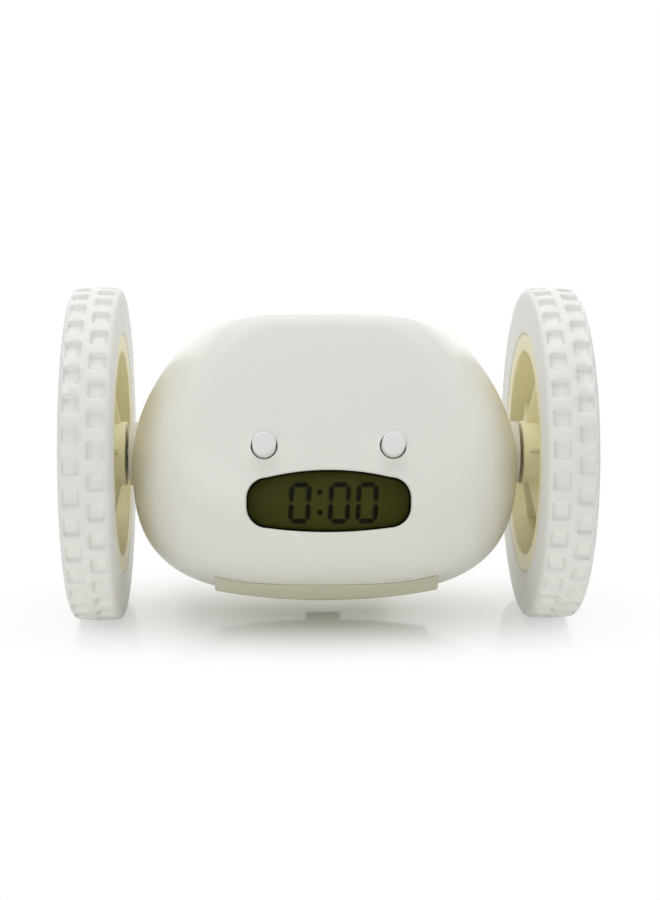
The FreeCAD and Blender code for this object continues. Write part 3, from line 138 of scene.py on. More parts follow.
# %% Lamps and world
bpy.context.scene.view_settings.view_transform = "Standard"
AIM = Vector((0.0, 0.0, 0.045))


def soft_panel(name, place, width, height, watts):
    """A rectangular lamp that faces the clock."""
    data = bpy.data.lights.new(name, "AREA")
    data.shape = "RECTANGLE"
    data.size = width
    data.size_y = height
    data.energy = watts
    lamp = bpy.data.objects.new(name, data)
    lamp.location = place
    lamp.rotation_euler = (AIM - lamp.location).to_track_quat("-Z", "Y").to_euler()
    bpy.context.scene.collection.objects.link(lamp)
    print("%-12s %.1f W" % (name, watts))
    return lamp


soft_panel("overhead", Vector((0.0, 0.1, 0.75)), 0.9, 0.8, 3.7)
soft_panel("front_panel", Vector((-0.25, -1.0, 0.3)), 0.9, 0.5, 1.6)
low_strip = soft_panel("low_strip", Vector((0.0, -0.9, 0.06)), 1.4, 0.1, 0.7)
low_strip.visible_glossy = False
soft_panel("back_left", Vector((-0.4, 0.8, 0.35)), 0.7, 0.6, 0.9)
soft_panel("back_right", Vector((0.4, 0.8, 0.35)), 0.7, 0.6, 0.9)


def wire(tree, *links):
    """Join shader nodes. Each link is (node, its output, next node, its input)."""
    for source, output, target, socket in links:
        tree.links.new(source.outputs[output], target.inputs[socket])


def direct_rays(tree):
    """A node that gives 1 for what the camera, a mirror or clear plastic sees directly."""
    path = tree.nodes.new("ShaderNodeLightPath")
    source, output = path, "Is Camera Ray"
    for ray in ("Is Glossy Ray", "Is Transmission Ray"):
        either = tree.nodes.new("ShaderNodeMath")
        either.operation = "MAXIMUM"
        wire(tree, (source, output, either, 0), (path, ray, either, 1))
        source, output = either, 0
    return source


world = bpy.data.worlds.new("studio_air")
bpy.context.scene.world = world
world.use_nodes = True
tree = world.node_tree
tree.nodes.clear()
WORLD_STRENGTH, WHITE = 0.33, (1.0, 1.0, 1.0, 1.0)
sky = tree.nodes.new("ShaderNodeBackground")
sky.inputs["Color"].default_value = WHITE
sky.inputs["Strength"].default_value = WORLD_STRENGTH
paper = tree.nodes.new("ShaderNodeBackground")
paper.inputs["Color"].default_value = WHITE
paper.inputs["Strength"].default_value = 1.0
pick = tree.nodes.new("ShaderNodeMixShader")
out = tree.nodes.new("ShaderNodeOutputWorld")
wire(
    tree, (direct_rays(tree), 0, pick, "Fac"), (sky, 0, pick, 1), (paper, 0, pick, 2),
    (pick, 0, out, "Surface"),
)
print("world strength", WORLD_STRENGTH)

# %% [markdown]
# ## Floor
# The clock stands on glossy white card that fades into a white background. Near the clock the
# card is real: it takes the shadow and a faint reflection. Further away a glow takes over. It is
# seen only directly, in a mirror or through clear plastic, so it adds no light to the clock.

# %% Floor
FLOOR_HALF, CARD_FAR, CARD_OVAL = 6.0, 0.047, 0.38
floor = new_piece(
    "floor",
    [(-FLOOR_HALF, -FLOOR_HALF, 0), (FLOOR_HALF, -FLOOR_HALF, 0), (FLOOR_HALF, FLOOR_HALF, 0),
     (-FLOOR_HALF, FLOOR_HALF, 0)],
    [(0, 1, 2, 3)],
    Matrix.Identity(4),
)
card = bpy.data.materials.new("glossy_card")
card.use_nodes = True
tree = card.node_tree
shader = tree.nodes["Principled BSDF"]
shader.inputs["Base Color"].default_value = (0.95, 0.94, 0.89, 1.0)
shader.inputs["Roughness"].default_value = 0.12
glow = tree.nodes.new("ShaderNodeEmission")
glow.inputs["Color"].default_value = WHITE
glow.inputs["Strength"].default_value = 1.0
place = tree.nodes.new("ShaderNodeTexCoord")
oval = tree.nodes.new("ShaderNodeMapping")
oval.inputs["Scale"].default_value = (CARD_OVAL, 1.0, 1.0)
away = tree.nodes.new("ShaderNodeVectorMath")
away.operation = "LENGTH"
fade = tree.nodes.new("ShaderNodeMapRange")
fade.interpolation_type = "SMOOTHSTEP"
fade.inputs["From Max"].default_value = CARD_FAR
share = tree.nodes.new("ShaderNodeMath")
share.operation = "MULTIPLY"
blend_in = tree.nodes.new("ShaderNodeMixShader")
wire(
    tree, (place, "Object", oval, "Vector"), (oval, "Vector", away, 0), (away, "Value", fade, "Value"),
    (direct_rays(tree), 0, share, 0), (fade, "Result", share, 1), (share, 0, blend_in, "Fac"),
    (shader, 0, blend_in, 1), (glow, 0, blend_in, 2),
    (blend_in, 0, tree.nodes["Material Output"], "Surface"),
)
floor.data.materials.append(card)
print("floor card fades to white within", CARD_FAR, "m")

# %% [markdown]
# ## Finishes
# Moulded plastic is never perfectly even: its colour drifts a little, its polish varies, and a
# fine skin texture softens highlights. One node group makes those three effects, and each
# plastic, rubber or metal calls it with its own values.

# %% Moulded skin node group
GRAIN_SIZE = 900.0


def value_socket(group, name, direction, kind="NodeSocketFloat", start=None):
    """A named input or output of a node group."""
    socket = group.interface.new_socket(name=name, in_out=direction, socket_type=kind)
    if start is not None:
        socket.default_value = start
    return socket


skin = bpy.data.node_groups.new("moulded_skin", "ShaderNodeTree")
value_socket(skin, "Tint A", "INPUT", "NodeSocketColor", (0.8, 0.8, 0.8, 1.0))
value_socket(skin, "Tint B", "INPUT", "NodeSocketColor", (0.7, 0.7, 0.7, 1.0))
value_socket(skin, "Patch Size", "INPUT", start=40.0)
value_socket(skin, "Grain Size", "INPUT", start=GRAIN_SIZE)
value_socket(skin, "Roughness Low", "INPUT", start=0.3)
value_socket(skin, "Roughness High", "INPUT", start=0.4)
value_socket(skin, "Colour", "OUTPUT", "NodeSocketColor")
value_socket(skin, "Roughness", "OUTPUT")
value_socket(skin, "Height", "OUTPUT")
given = skin.nodes.new("NodeGroupInput")
result = skin.nodes.new("NodeGroupOutput")
place = skin.nodes.new("ShaderNodeTexCoord")
patches = skin.nodes.new("ShaderNodeTexNoise")
patches.inputs["Detail"].default_value = 3.0
grain = skin.nodes.new("ShaderNodeTexNoise")
grain.inputs["Detail"].default_value = 2.0
tint = skin.nodes.new("ShaderNodeMix")
tint.data_type = "RGBA"
polish = skin.nodes.new("ShaderNodeMapRange")
wire(
    skin, (place, "Object", patches, "Vector"), (place, "Object", grain, "Vector"),
    (given, "Patch Size", patches, "Scale"), (given, "Grain Size", grain, "Scale"),
    (patches, "Fac", tint, "Factor"), (given, "Tint A", tint, "A"), (given, "Tint B", tint, "B"),
    (patches, "Fac", polish, "Value"), (given, "Roughness Low", polish, "To Min"),
    (given, "Roughness High", polish, "To Max"), (tint, "Result", result, "Colour"),
    (polish, "Result", result, "Roughness"), (grain, "Fac", result, "Height"),
)
print("node group", skin.name, "with", len(skin.nodes), "nodes")

# %% Finish maker
GRAIN_HEIGHT, METAL_BUMP = 0.0002, 0.1


def finish(name, tint_a, tint_b, rough, bump=0.05, patch=40.0, metal=0.0, **sockets):
    """A material whose colour, polish and fine bump come from the moulded skin group."""
    made = bpy.data.materials.new(name)
    made.use_nodes = True
    tree = made.node_tree
    shader = tree.nodes["Principled BSDF"]
    texture = tree.nodes.new("ShaderNodeGroup")
    texture.node_tree = skin
    texture.inputs["Tint A"].default_value = (*tint_a, 1.0)
    texture.inputs["Tint B"].default_value = (*tint_b, 1.0)
    texture.inputs["Patch Size"].default_value = patch
    texture.inputs["Grain Size"].default_value = GRAIN_SIZE
    texture.inputs["Roughness Low"].default_value = rough[0]
    texture.inputs["Roughness High"].default_value = rough[1]
    relief = tree.nodes.new("ShaderNodeBump")
    relief.inputs["Strength"].default_value = bump
    relief.inputs["Distance"].default_value = GRAIN_HEIGHT
    wire(
        tree, (texture, "Colour", shader, "Base Color"), (texture, "Roughness", shader, "Roughness"),
        (texture, "Height", relief, "Height"), (relief, "Normal", shader, "Normal"),
    )
    shader.inputs["Metallic"].default_value = metal
    for key, value in sockets.items():
        shader.inputs[key.replace("_", " ")].default_value = value
    return made


FINISHES = {
    "shell_white": finish(
        "warm_white_shell", (0.89, 0.885, 0.84), (0.87, 0.865, 0.815), (0.26, 0.34)),
    # The door's white is a darker, yellower copy of the shell's white: painted shade for the door,
    # which sits in the shadow under the body.
    "door_painted_shade": finish(
        "white_door_painted_shade", (0.58, 0.57, 0.42), (0.54, 0.53, 0.39), (0.3, 0.38)),
    "button_white": finish(
        "bright_white_button", (0.89, 0.895, 0.885), (0.87, 0.875, 0.86), (0.2, 0.26)),
    "tyre_white": finish(
        "white_tyre_rubber", (0.92, 0.915, 0.89), (0.90, 0.895, 0.865), (0.48, 0.6), 0.12, 60.0),
    "hub_white": finish("cream_hub", (0.96, 0.905, 0.63), (0.94, 0.88, 0.59), (0.42, 0.52)),
    "ink_black": finish(
        "display_ink", (0.004, 0.0035, 0.001), (0.005, 0.0045, 0.0015), (0.4, 0.5),
        Specular_IOR_Level=0.03),
    "dark_plastic": finish(
        "black_plastic", (0.012, 0.012, 0.013), (0.018, 0.018, 0.02), (0.4, 0.5)),
    "zebra_pink": finish("contact_strip", (0.45, 0.2, 0.22), (0.38, 0.17, 0.19), (0.5, 0.6)),
    "board_green": finish(
        "green_circuit_board", (0.01, 0.09, 0.03), (0.008, 0.07, 0.025), (0.3, 0.4)),
    # Steel's own grey, darkened further as painted shade: the axle is seen only in the shaded gap by
    # the hub, and the white world it reflects would show it too bright.
    "steel": finish(
        "turned_steel", (0.34, 0.33, 0.31), (0.28, 0.27, 0.26), (0.3, 0.4), METAL_BUMP, 300.0,
        metal=1.0),
    "spring_metal": finish(
        "nickel_contact", (0.6, 0.58, 0.52), (0.52, 0.5, 0.45), (0.25, 0.35), METAL_BUMP, 200.0,
        metal=1.0),
    "nylon": finish("natural_nylon", (0.7, 0.68, 0.6), (0.66, 0.64, 0.56), (0.35, 0.45)),
    "motor_can": finish(
        "zinc_plated_can", (0.5, 0.5, 0.51), (0.43, 0.43, 0.45), (0.28, 0.38), METAL_BUMP, 150.0,
        metal=1.0),
    "speaker_black": finish(
        "speaker_basket", (0.014, 0.014, 0.015), (0.02, 0.02, 0.022), (0.35, 0.45)),
    "brass": finish(
        "brass", (0.62, 0.42, 0.14), (0.55, 0.36, 0.11), (0.25, 0.35), METAL_BUMP, 300.0, metal=1.0),
    "cell_wrap": finish("battery_wrap", (0.02, 0.022, 0.026), (0.03, 0.032, 0.036), (0.2, 0.3)),
    "lcd_green": finish(
        "olive_display", (0.040, 0.038, 0.006), (0.034, 0.034, 0.005), (0.45, 0.5), 0.02, 25.0,
        Specular_IOR_Level=0.03),
}
print(len(FINISHES), "finishes")

# %% Finish every CAD node
for part in frame["record"]["subparts"]:
    node = nodes[part["node"]]
    node.data.materials.clear()
    node.data.materials.append(FINISHES.get(part["material_slot"], FINISHES["shell_white"]))
print("finished", len(nodes), "CAD nodes")

# %% [markdown]
# ## The body's form
# The real shell is a barrel on its side with a flattened crown, a fuller base and a big slanted
# face. We describe it by a gauge: a number that is 1 on the surface, less inside and more
# outside. Blending the barrel's and the face's gauges by a power mean rounds the edge between
# them, and the higher the power, the crisper that edge. The CAD shells follow the same formula.

# %% Gauge of the form
HALF_WIDTH, CROWN_RADIUS, CROWN_POWER, CROWN_HEIGHT = 50.7, 46.6, 1.77, 34.5
BACK_RADIUS, BASE_RADIUS, BASE_POWER = 39.0, 37.45, 3.1
FACE_DISTANCE, FACE_TILT, FACE_BULGE = 33.35, math.radians(11.0), 300.0
TOP_BLEND, CROWN_BLEND, CHIN_BLEND = 40.0, 30.0, 14.0
WALL, FORM_END = 2.0, 0.35
FAR, HALVINGS = 90.0, 36


def ease(share):
    """0 to 1 with a soft start and a soft end."""
    share = np.clip(share, 0.0, 1.0)
    return share * share * (3.0 - 2.0 * share)


def gauge(points, offset):
    """How many times too far out each point lies from the form grown by the offset."""
    x, y, z = points[..., 0], points[..., 1], points[..., 2]
    reach = np.hypot(y, z) + 1e-9
    lift = z / reach
    upness = ease((1.0 + lift) / 2.0)
    crown = CROWN_RADIUS + (BACK_RADIUS - CROWN_RADIUS) * ease(np.maximum(0.0, y / reach))
    radius = BASE_RADIUS + (crown - BASE_RADIUS) * upness + offset
    power = BASE_POWER + (CROWN_POWER - BASE_POWER) * upness
    barrel = ((np.abs(x) / (HALF_WIDTH + offset)) ** power + (reach / radius) ** power) ** (1.0 / power)
    top = np.maximum(0.0, z) / (CROWN_HEIGHT + offset)
    barrel = (barrel ** TOP_BLEND + top ** TOP_BLEND) ** (1.0 / TOP_BLEND)
    along = -y * math.cos(FACE_TILT) + z * math.sin(FACE_TILT)
    centre = FACE_DISTANCE - FACE_BULGE
    squared = x * x + y * y + z * z
    share = along * centre
    root = share * share - squared * (centre * centre - (FACE_BULGE + offset) ** 2)
    face = squared / (share + np.sqrt(root))
    blend = CHIN_BLEND + (CROWN_BLEND - CHIN_BLEND) * ease((1.0 + lift * 1.6) / 2.0)
    return (barrel ** blend + face ** blend) ** (1.0 / blend)


def meet(starts, heading, offset=0.0):
    """Where rays from inside the form leave it: the distance along the heading for each start."""
    starts = np.asarray(starts, float)
    heading = np.asarray(heading, float)
    low = np.zeros(starts.shape[:-1])
    high = np.full(starts.shape[:-1], FAR)
    for _ in range(HALVINGS):
        middle = (low + high) / 2.0
        outside = gauge(starts + middle[..., None] * heading, offset) > 1.0
        high = np.where(outside, middle, high)
        low = np.where(outside, low, middle)
    return (low + high) / 2.0


def form_grid(offset, sections, around):
    """Points of the closed form: rings of points across the axle, and the faces between them."""
    end = HALF_WIDTH - FORM_END + offset
    across = -end * np.cos(np.pi * np.arange(sections + 1) / sections)
    angles = 2.0 * np.pi * np.arange(around) / around
    x, angle = np.meshgrid(across, angles, indexing="ij")
    origins = np.stack([x, 0.0 * x, 0.0 * x], axis=-1)
    headings = np.stack([0.0 * x, np.sin(angle), np.cos(angle)], axis=-1)
    distances = meet(origins, headings, offset)
    points = (origins + distances[..., None] * headings).reshape(-1, 3)
    faces = []
    for ring in range(sections):
        for step in range(around):
            after = (step + 1) % around
            low, high = ring * around, (ring + 1) * around
            faces.append((low + step, high + step, high + after, low + after))
    faces.append(tuple(range(around)))
    faces.append(tuple(reversed(range(sections * around, (sections + 1) * around))))
    return points, faces


print("face middle at y =", round(-float(meet([[0.0, 0.0, 0.0]], (0.0, -1.0, 0.0))[0]), 2), "mm")

# %% [markdown]
# ## Cutting holes with soft lips
# Moulded openings have small rounded edges that catch the light. We make each hole with a cutter
# that follows the surface: its rings flare out just above the skin, shrink to the true size a
# little below it, and run on through the wall. One Boolean modifier then removes all cutters.

# %% Cutter tools
def merged(parts):
    """Several (points, faces) pieces as one."""
    points, faces, count = [], [], 0
    for some_points, some_faces in parts:
        some_points = np.asarray(some_points, float)
        points.append(some_points)
        faces.extend(tuple(index + count for index in face) for face in some_faces)
        count += len(some_points)
    return np.concatenate(points), faces


def rings_to_faces(rings, count):
    """Quads between rings of points, with flat ends."""
    faces = []
    for ring in range(rings - 1):
        for step in range(count):
            after = (step + 1) % count
            low, high = ring * count, (ring + 1) * count
            faces.append((low + step, low + after, high + after, high + step))
    faces.append(tuple(reversed(range(count))))
    faces.append(tuple(range((rings - 1) * count, rings * count)))
    return faces


def outline_round(radius, count=48):
    """Circle outline as a function of how much it is grown."""
    angles = 2.0 * np.pi * np.arange(count) / count
    circle = np.stack([np.cos(angles), np.sin(angles)], axis=1)
    return lambda grow: circle * (radius + grow)


def outline_slot(length, breadth, count=48):
    """Outline with two straight sides and round ends."""
    angles = 2.0 * np.pi * (np.arange(count) + 0.5) / count
    circle = np.stack([np.cos(angles), np.sin(angles)], axis=1)
    shift = np.sign(circle[:, :1]) * (length - breadth) / 2.0 * np.array([[1.0, 0.0]])
    return lambda grow: shift + circle * (breadth / 2.0 + grow)


def outline_box(width, height, corner, top_bow=0.0, bottom_bow=0.0, steps=8):
    """Rectangle outline with round corners and outward bowed top and bottom."""
    def make(grow):
        """Its points, grown outward all round."""
        half, tall, radius = width / 2.0 + grow, height / 2.0 + grow, corner + grow
        points = []
        corners = ((1, 1, 0.0), (-1, 1, 90.0), (-1, -1, 180.0), (1, -1, 270.0))
        for side, rise, begin in corners:
            bow = top_bow if rise > 0 else bottom_bow
            edge = tall - bow
            for step in range(steps + 1):
                angle = math.radians(begin + 90.0 * step / steps)
                points.append((
                    side * (half - radius) + radius * math.cos(angle),
                    rise * (edge - radius) + radius * math.sin(angle),
                ))
            if begin in (0.0, 180.0):
                for step in range(1, 3 * steps):
                    share = step / (3.0 * steps)
                    across = side * (half - radius) * (1.0 - 2.0 * share)
                    points.append((across, rise * (edge + bow * (1.0 - (1.0 - 2.0 * share) ** 2))))
        return np.array(points)
    return make


def pierce(outline, origin, heading, across, upward, lip, deep=6.0, steps=()):
    """A cutter along the heading. Steps are (depth below the skin, grow) pairs after the lip."""
    levels = [(-2.0, lip * 1.9), (-0.35 * lip, lip * 1.05), (0.02 * lip, lip * 0.72)]
    levels += [(lip * 0.22, lip * 0.34), (lip * 0.55, lip * 0.1), (lip, 0.0)]
    levels += list(steps)
    levels.append((deep, levels[-1][1]))
    origin, heading = np.asarray(origin, float), np.asarray(heading, float)
    across, upward = np.asarray(across, float), np.asarray(upward, float)
    rings = []
    for depth, grow in levels:
        flat = outline(grow)
        base = origin + flat[:, :1] * across + flat[:, 1:] * upward
        rings.append(base + (meet(base, heading) - depth)[:, None] * heading)
    return np.concatenate(rings), rings_to_faces(len(rings), len(rings[0]))


def outward(points, faces):
    """The same faces turned so that the closed piece has positive volume."""
    total = 0.0
    for face in faces:
        a = points[face[0]]
        for second, third in zip(face[1:-1], face[2:]):
            total += float(np.dot(a, np.cross(points[second], points[third])))
    return faces if total > 0.0 else [tuple(reversed(face)) for face in faces]


def solid(name, points, faces, space):
    """A closed piece in the scene, with all its faces turned outward."""
    return new_piece(name, points, outward(points, faces), space)


def block(x_span, y_span, z_span):
    """A plain box between bounds."""
    points = np.array([(x, y, z) for x in x_span for y in y_span for z in z_span], float)
    faces = [(0, 1, 3, 2), (4, 6, 7, 5), (0, 4, 5, 1), (2, 3, 7, 6), (0, 2, 6, 4), (1, 5, 7, 3)]
    return points, faces


def carved(obj, points, faces, operation="DIFFERENCE"):
    """Apply one Boolean with a closed tool given in millimetres, and keep the result."""
    tool = solid("tool", points, faces, Matrix.Identity(4))
    cut = obj.modifiers.new("cut", "BOOLEAN")
    cut.operation = operation
    cut.object = tool
    cut.solver = "MANIFOLD"
    before = obj.data
    depsgraph = bpy.context.evaluated_depsgraph_get()
    obj.data = bpy.data.meshes.new_from_object(obj.evaluated_get(depsgraph))
    obj.modifiers.clear()
    bpy.data.meshes.remove(before)
    bpy.data.objects.remove(tool)
    return obj


# %% [markdown]
# ## Housing
# Two moulded shells meet on a fine line over the axle. We cut one closed wall, made of the form
# and a smaller copy of it, with every opening, and then part it at the seam. The display window
# sits in a stepped opening, so its cutter widens again behind the rim.

# %% Holes
WINDOW_LEVEL, WINDOW_SINK, WINDOW_REBATE = -13.2, 0.8, 1.2
window_outline = outline_box(40.8, 15.4, 5.2, top_bow=1.8, bottom_bow=1.05)
EYE_X, EYE_LEVEL, EYE_RADIUS, EYE_GAP = 16.0, 0.5, 2.95, 0.35
FACE_OUT = np.array([0.0, -math.cos(FACE_TILT), math.sin(FACE_TILT)])
FACE_UP = np.array([0.0, math.sin(FACE_TILT), math.cos(FACE_TILT)])
ACROSS = np.array([1.0, 0.0, 0.0])
UPWARD = np.array([0.0, 0.0, 1.0])
FRONT = np.array([0.0, -1.0, 0.0])
BACK = np.array([0.0, 1.0, 0.0])
AXLE_MIDDLE = np.zeros(3)
eye_depth = float(meet([[EYE_X, 0.0, EYE_LEVEL]], FRONT)[0])
EYE_PLACES = [np.array([side * EYE_X, -eye_depth, EYE_LEVEL]) for side in (-1.0, 1.0)]

front_cutters = [
    pierce(window_outline, (0.0, 0.0, WINDOW_LEVEL), FRONT, ACROSS, UPWARD, lip=0.6,
           steps=((WINDOW_SINK, 0.0), (WINDOW_SINK + 0.01, WINDOW_REBATE))),
]
for place in EYE_PLACES:
    inside = place - FACE_OUT * 12.0
    front_cutters.append(
        pierce(outline_round(EYE_RADIUS + EYE_GAP), inside, FACE_OUT, ACROSS, FACE_UP, lip=0.25)
    )

SNOOZE_TURN = math.radians(38.0)
SNOOZE_OUT = np.array([0.0, math.sin(SNOOZE_TURN), math.cos(SNOOZE_TURN)])
SNOOZE_DOWN = np.array([0.0, -math.cos(SNOOZE_TURN), math.sin(SNOOZE_TURN)])
SNOOZE_LENGTH, SNOOZE_BREADTH, SNOOZE_GAP = 22.0, 10.0, 0.35
SWITCH_SLOT = (7.2, 3.2, 0.5)
SCREW_PLACES = ((-22.0, 27.0), (22.0, 27.0), (-34.0, -18.0), (34.0, -18.0))
SCREW_HOLE, SCREW_FLOOR = 2.3, 9.8
REAR_LEVEL, SET_X, SET_RADIUS = 16.5, 11.5, 3.5
SPEAKER_LEVEL, GRILLE_PITCH, GRILLE_HOLE, GRILLE_RINGS = -1.5, 3.6, 1.0, 3
back_cutters = [
    pierce(outline_slot(SNOOZE_LENGTH + 2.0 * SNOOZE_GAP, SNOOZE_BREADTH + 2.0 * SNOOZE_GAP),
           AXLE_MIDDLE, SNOOZE_OUT, ACROSS, SNOOZE_DOWN, lip=0.4),
    pierce(outline_box(*SWITCH_SLOT, steps=4), (0.0, 0.0, REAR_LEVEL), BACK, ACROSS, UPWARD, lip=0.25),
]
for side in (-1.0, 1.0):
    back_cutters.append(
        pierce(outline_round(SET_RADIUS + EYE_GAP), (side * SET_X, 0.0, REAR_LEVEL), BACK, ACROSS,
               UPWARD, lip=0.3)
    )
for x, level in SCREW_PLACES:
    depth = float(meet([[x, 0.0, level]], BACK)[0])
    back_cutters.append(
        pierce(outline_round(SCREW_HOLE, 32), (x, 0.0, level), BACK, ACROSS, UPWARD, lip=0.25,
               deep=depth - SCREW_FLOOR)
    )
for ring in range(GRILLE_RINGS + 1):
    count = max(1, 6 * ring)
    for step in range(count):
        angle = 2.0 * math.pi * step / count
        x = ring * GRILLE_PITCH * math.cos(angle)
        level = SPEAKER_LEVEL + ring * GRILLE_PITCH * math.sin(angle)
        back_cutters.append(
            pierce(outline_round(GRILLE_HOLE, 20), (x, 0.0, level), BACK, ACROSS, UPWARD, lip=0.2)
        )
CELL_LEVEL, CELL_RADIUS, CELL_GAP = -28.6, 5.25, 0.4
PLUG_TOP = CELL_LEVEL - CELL_RADIUS - CELL_GAP
DOOR_HALF, DOOR_FRONT, DOOR_BACK, DOOR_BOTTOM, DOOR_MARGIN = 28.75, -14.6, 13.0, -38.7, 2.4
HOLE_BACK, HOLE_LEVELS = DOOR_BACK - DOOR_MARGIN + 1.0, (-60.0, -28.0)
door_hole = block(
    (-DOOR_HALF + DOOR_MARGIN, DOOR_HALF - DOOR_MARGIN),
    (DOOR_FRONT + DOOR_MARGIN, HOLE_BACK),
    HOLE_LEVELS,
)
print(len(front_cutters), "front cutters,", len(back_cutters), "back cutters")


# %% Shells
SECTIONS, AROUND = ((150, 220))
HALF_SEAM = 0.075
WIDE = (-FAR, FAR)


def shell_half(name, y_span, cutters):
    """One shell: the form's wall, minus its cutters, on one side of the seam."""
    points, faces = form_grid(0.0, SECTIONS, AROUND)
    half = solid(name, points, faces, Matrix.Identity(4))
    points, faces = form_grid(-WALL, SECTIONS // 2, AROUND // 2)
    carved(half, points, faces)
    points, faces = merged([(p, outward(p, f)) for p, f in cutters])
    carved(half, points, faces)
    carved(half, *door_hole)
    carved(half, *block(WIDE, y_span, WIDE), operation="INTERSECT")
    half.data.transform(BODY_SPACE)
    return smooth(half, 30.0)


front_housing = shell_half("front_housing", (WIDE[0], -HALF_SEAM), front_cutters)
rear_housing = shell_half("rear_housing", (HALF_SEAM, WIDE[1]), back_cutters)
dress(front_housing, "clock_body", "shell_white", "front_shell")
dress(rear_housing, "clock_body", "shell_white", "rear_shell")

# %% [markdown]
# ## Turned pieces
# Hubs, nuts, buttons and bosses are round about one line, so we spin an outline about it. Real
# corners are never razor sharp: the helper replaces each corner by a short curve before spinning.

# %% Spinning tools
def softened(corners, radius, steps=3):
    """An open outline with each inner corner replaced by a small curve."""
    corners = [np.asarray(corner, float) for corner in corners]
    result = [corners[0]]
    for before, corner, after in zip(corners[:-2], corners[1:-1], corners[2:]):
        come, go = corner - before, after - corner
        reach = min(radius, 0.45 * np.linalg.norm(come), 0.45 * np.linalg.norm(go))
        start = corner - come / np.linalg.norm(come) * reach
        end = corner + go / np.linalg.norm(go) * reach
        for step in range(steps + 1):
            share = step / steps
            result.append(
                (1 - share) ** 2 * start + 2 * share * (1 - share) * corner + share ** 2 * end
            )
    result.append(corners[-1])
    return result


def closed_softened(corners, radius):
    """The same for a closed outline, where every corner is softened."""
    wrapped = [corners[-1]] + list(corners) + [corners[0]]
    return softened(wrapped, radius)[1:-1]


def spun(outline, steps, closed=True):
    """Points and faces of an outline of (x, radius) pairs turned about X. Radius 0 ends are poles."""
    outline = [(float(x), float(r)) for x, r in outline]
    rows, points = [], []
    for x, radius in outline:
        if radius < 1e-6:
            rows.append([len(points)])
            points.append((x, 0.0, 0.0))
        else:
            rows.append(list(range(len(points), len(points) + steps)))
            for step in range(steps):
                angle = 2.0 * math.pi * step / steps
                points.append((x, radius * math.cos(angle), radius * math.sin(angle)))
    faces = []
    pairs = list(zip(rows[:-1], rows[1:])) + ([(rows[-1], rows[0])] if closed else [])
    for first, second in pairs:
        for step in range(steps):
            after = (step + 1) % steps
            if len(first) == 1:
                faces.append((first[0], second[step], second[after]))
            elif len(second) == 1:
                faces.append((first[step], second[0], first[after]))
            else:
                faces.append((first[step], second[step], second[after], first[after]))
    return np.array(points), faces


def flipped(points, side):
    """Mirror across the middle of the clock for side -1."""
    return points * np.array([side, 1.0, 1.0])


def bevelled(obj, width, segments=2):
    """Round the edges of a piece by a small bevel, in metres, and keep the result."""
    edge = obj.modifiers.new("edge", "BEVEL")
    edge.width = width
    edge.segments = segments
    edge.limit_method = "ANGLE"
    edge.angle_limit = math.radians(CREASE)
    depsgraph = bpy.context.evaluated_depsgraph_get()
    before = obj.data
    obj.data = bpy.data.meshes.new_from_object(obj.evaluated_get(depsgraph))
    obj.modifiers.clear()
    bpy.data.meshes.remove(before)
    return obj


# %% Axle bosses
SIDES = (("left", -1.0), ("right", 1.0))
BOSS_BORE, BOSS_RADIUS, BOSS_START, BOSS_END = 2.7, 8.5, 46.0, 51.5
outline = [(x, BOSS_BORE) for x in (BOSS_START, BOSS_END)]
outline += [(x, BOSS_RADIUS) for x in (BOSS_END, BOSS_START)]
boss_points, boss_faces = spun(closed_softened(outline, 0.35), 96)
for name, side in SIDES:
    boss = smooth(solid("axle_boss_" + name, flipped(boss_points, side), boss_faces, BODY_SPACE))
    dress(boss, "clock_body", "shell_white")

# %% [markdown]
# ## Display
# Behind the clear window lies a flat liquid crystal panel with a dark olive tone. The window
# reflects very little, so that the panel reads evenly, and it lets the lamps' light pass through.

# %% Window lens
LENS_FRONT, LENS_BACK, LENS_SOFT = 0.92, 0.9, 0.06
LENS_EDGE = WINDOW_REBATE - 0.1
LENS_SHRINK = (0.12, 0.35, 0.6, 0.85)


def window_ring(depth, flat):
    """An outline laid on the face at a depth below the skin."""
    base = np.stack([flat[:, 0], 0.0 * flat[:, 0], WINDOW_LEVEL + flat[:, 1]], axis=1)
    return base + (meet(base, FRONT) - depth)[:, None] * FRONT


def lens():
    """The clear window: rings that follow the face just below the rim, front and back."""
    rings = []
    levels = ((WINDOW_SINK, 0.0), (WINDOW_SINK, LENS_FRONT), (WINDOW_SINK + LENS_SOFT, LENS_EDGE),
              (WALL - LENS_SOFT, LENS_EDGE), (WALL, LENS_BACK), (WALL, 0.0))
    for share in LENS_SHRINK:
        rings.append(window_ring(WINDOW_SINK, window_outline(0.0) * share))
    for depth, grow in levels:
        rings.append(window_ring(depth, window_outline(grow)))
    for share in reversed(LENS_SHRINK):
        rings.append(window_ring(WALL, window_outline(0.0) * share))
    return np.concatenate(rings), rings_to_faces(len(rings), len(rings[0]))


window_lens = smooth(solid("window_lens", *lens(), BODY_SPACE), 50.0)
clear = bpy.data.materials.new("clear_window")
clear.use_nodes = True
tree = clear.node_tree
shader = tree.nodes["Principled BSDF"]
shader.inputs["Base Color"].default_value = (0.98, 0.98, 0.92, 1.0)
shader.inputs["Roughness"].default_value = 0.03
shader.inputs["IOR"].default_value = 1.06
shader.inputs["Specular IOR Level"].default_value = 0.02
shader.inputs["Transmission Weight"].default_value = 1.0
through = tree.nodes.new("ShaderNodeBsdfTransparent")
path = tree.nodes.new("ShaderNodeLightPath")
let_light = tree.nodes.new("ShaderNodeMixShader")
wire(
    tree, (path, "Is Shadow Ray", let_light, "Fac"), (shader, 0, let_light, 1),
    (through, 0, let_light, 2), (let_light, 0, tree.nodes["Material Output"], "Surface"),
)
dress(window_lens, "clock_body", "window_clear", "display_window", material=clear)
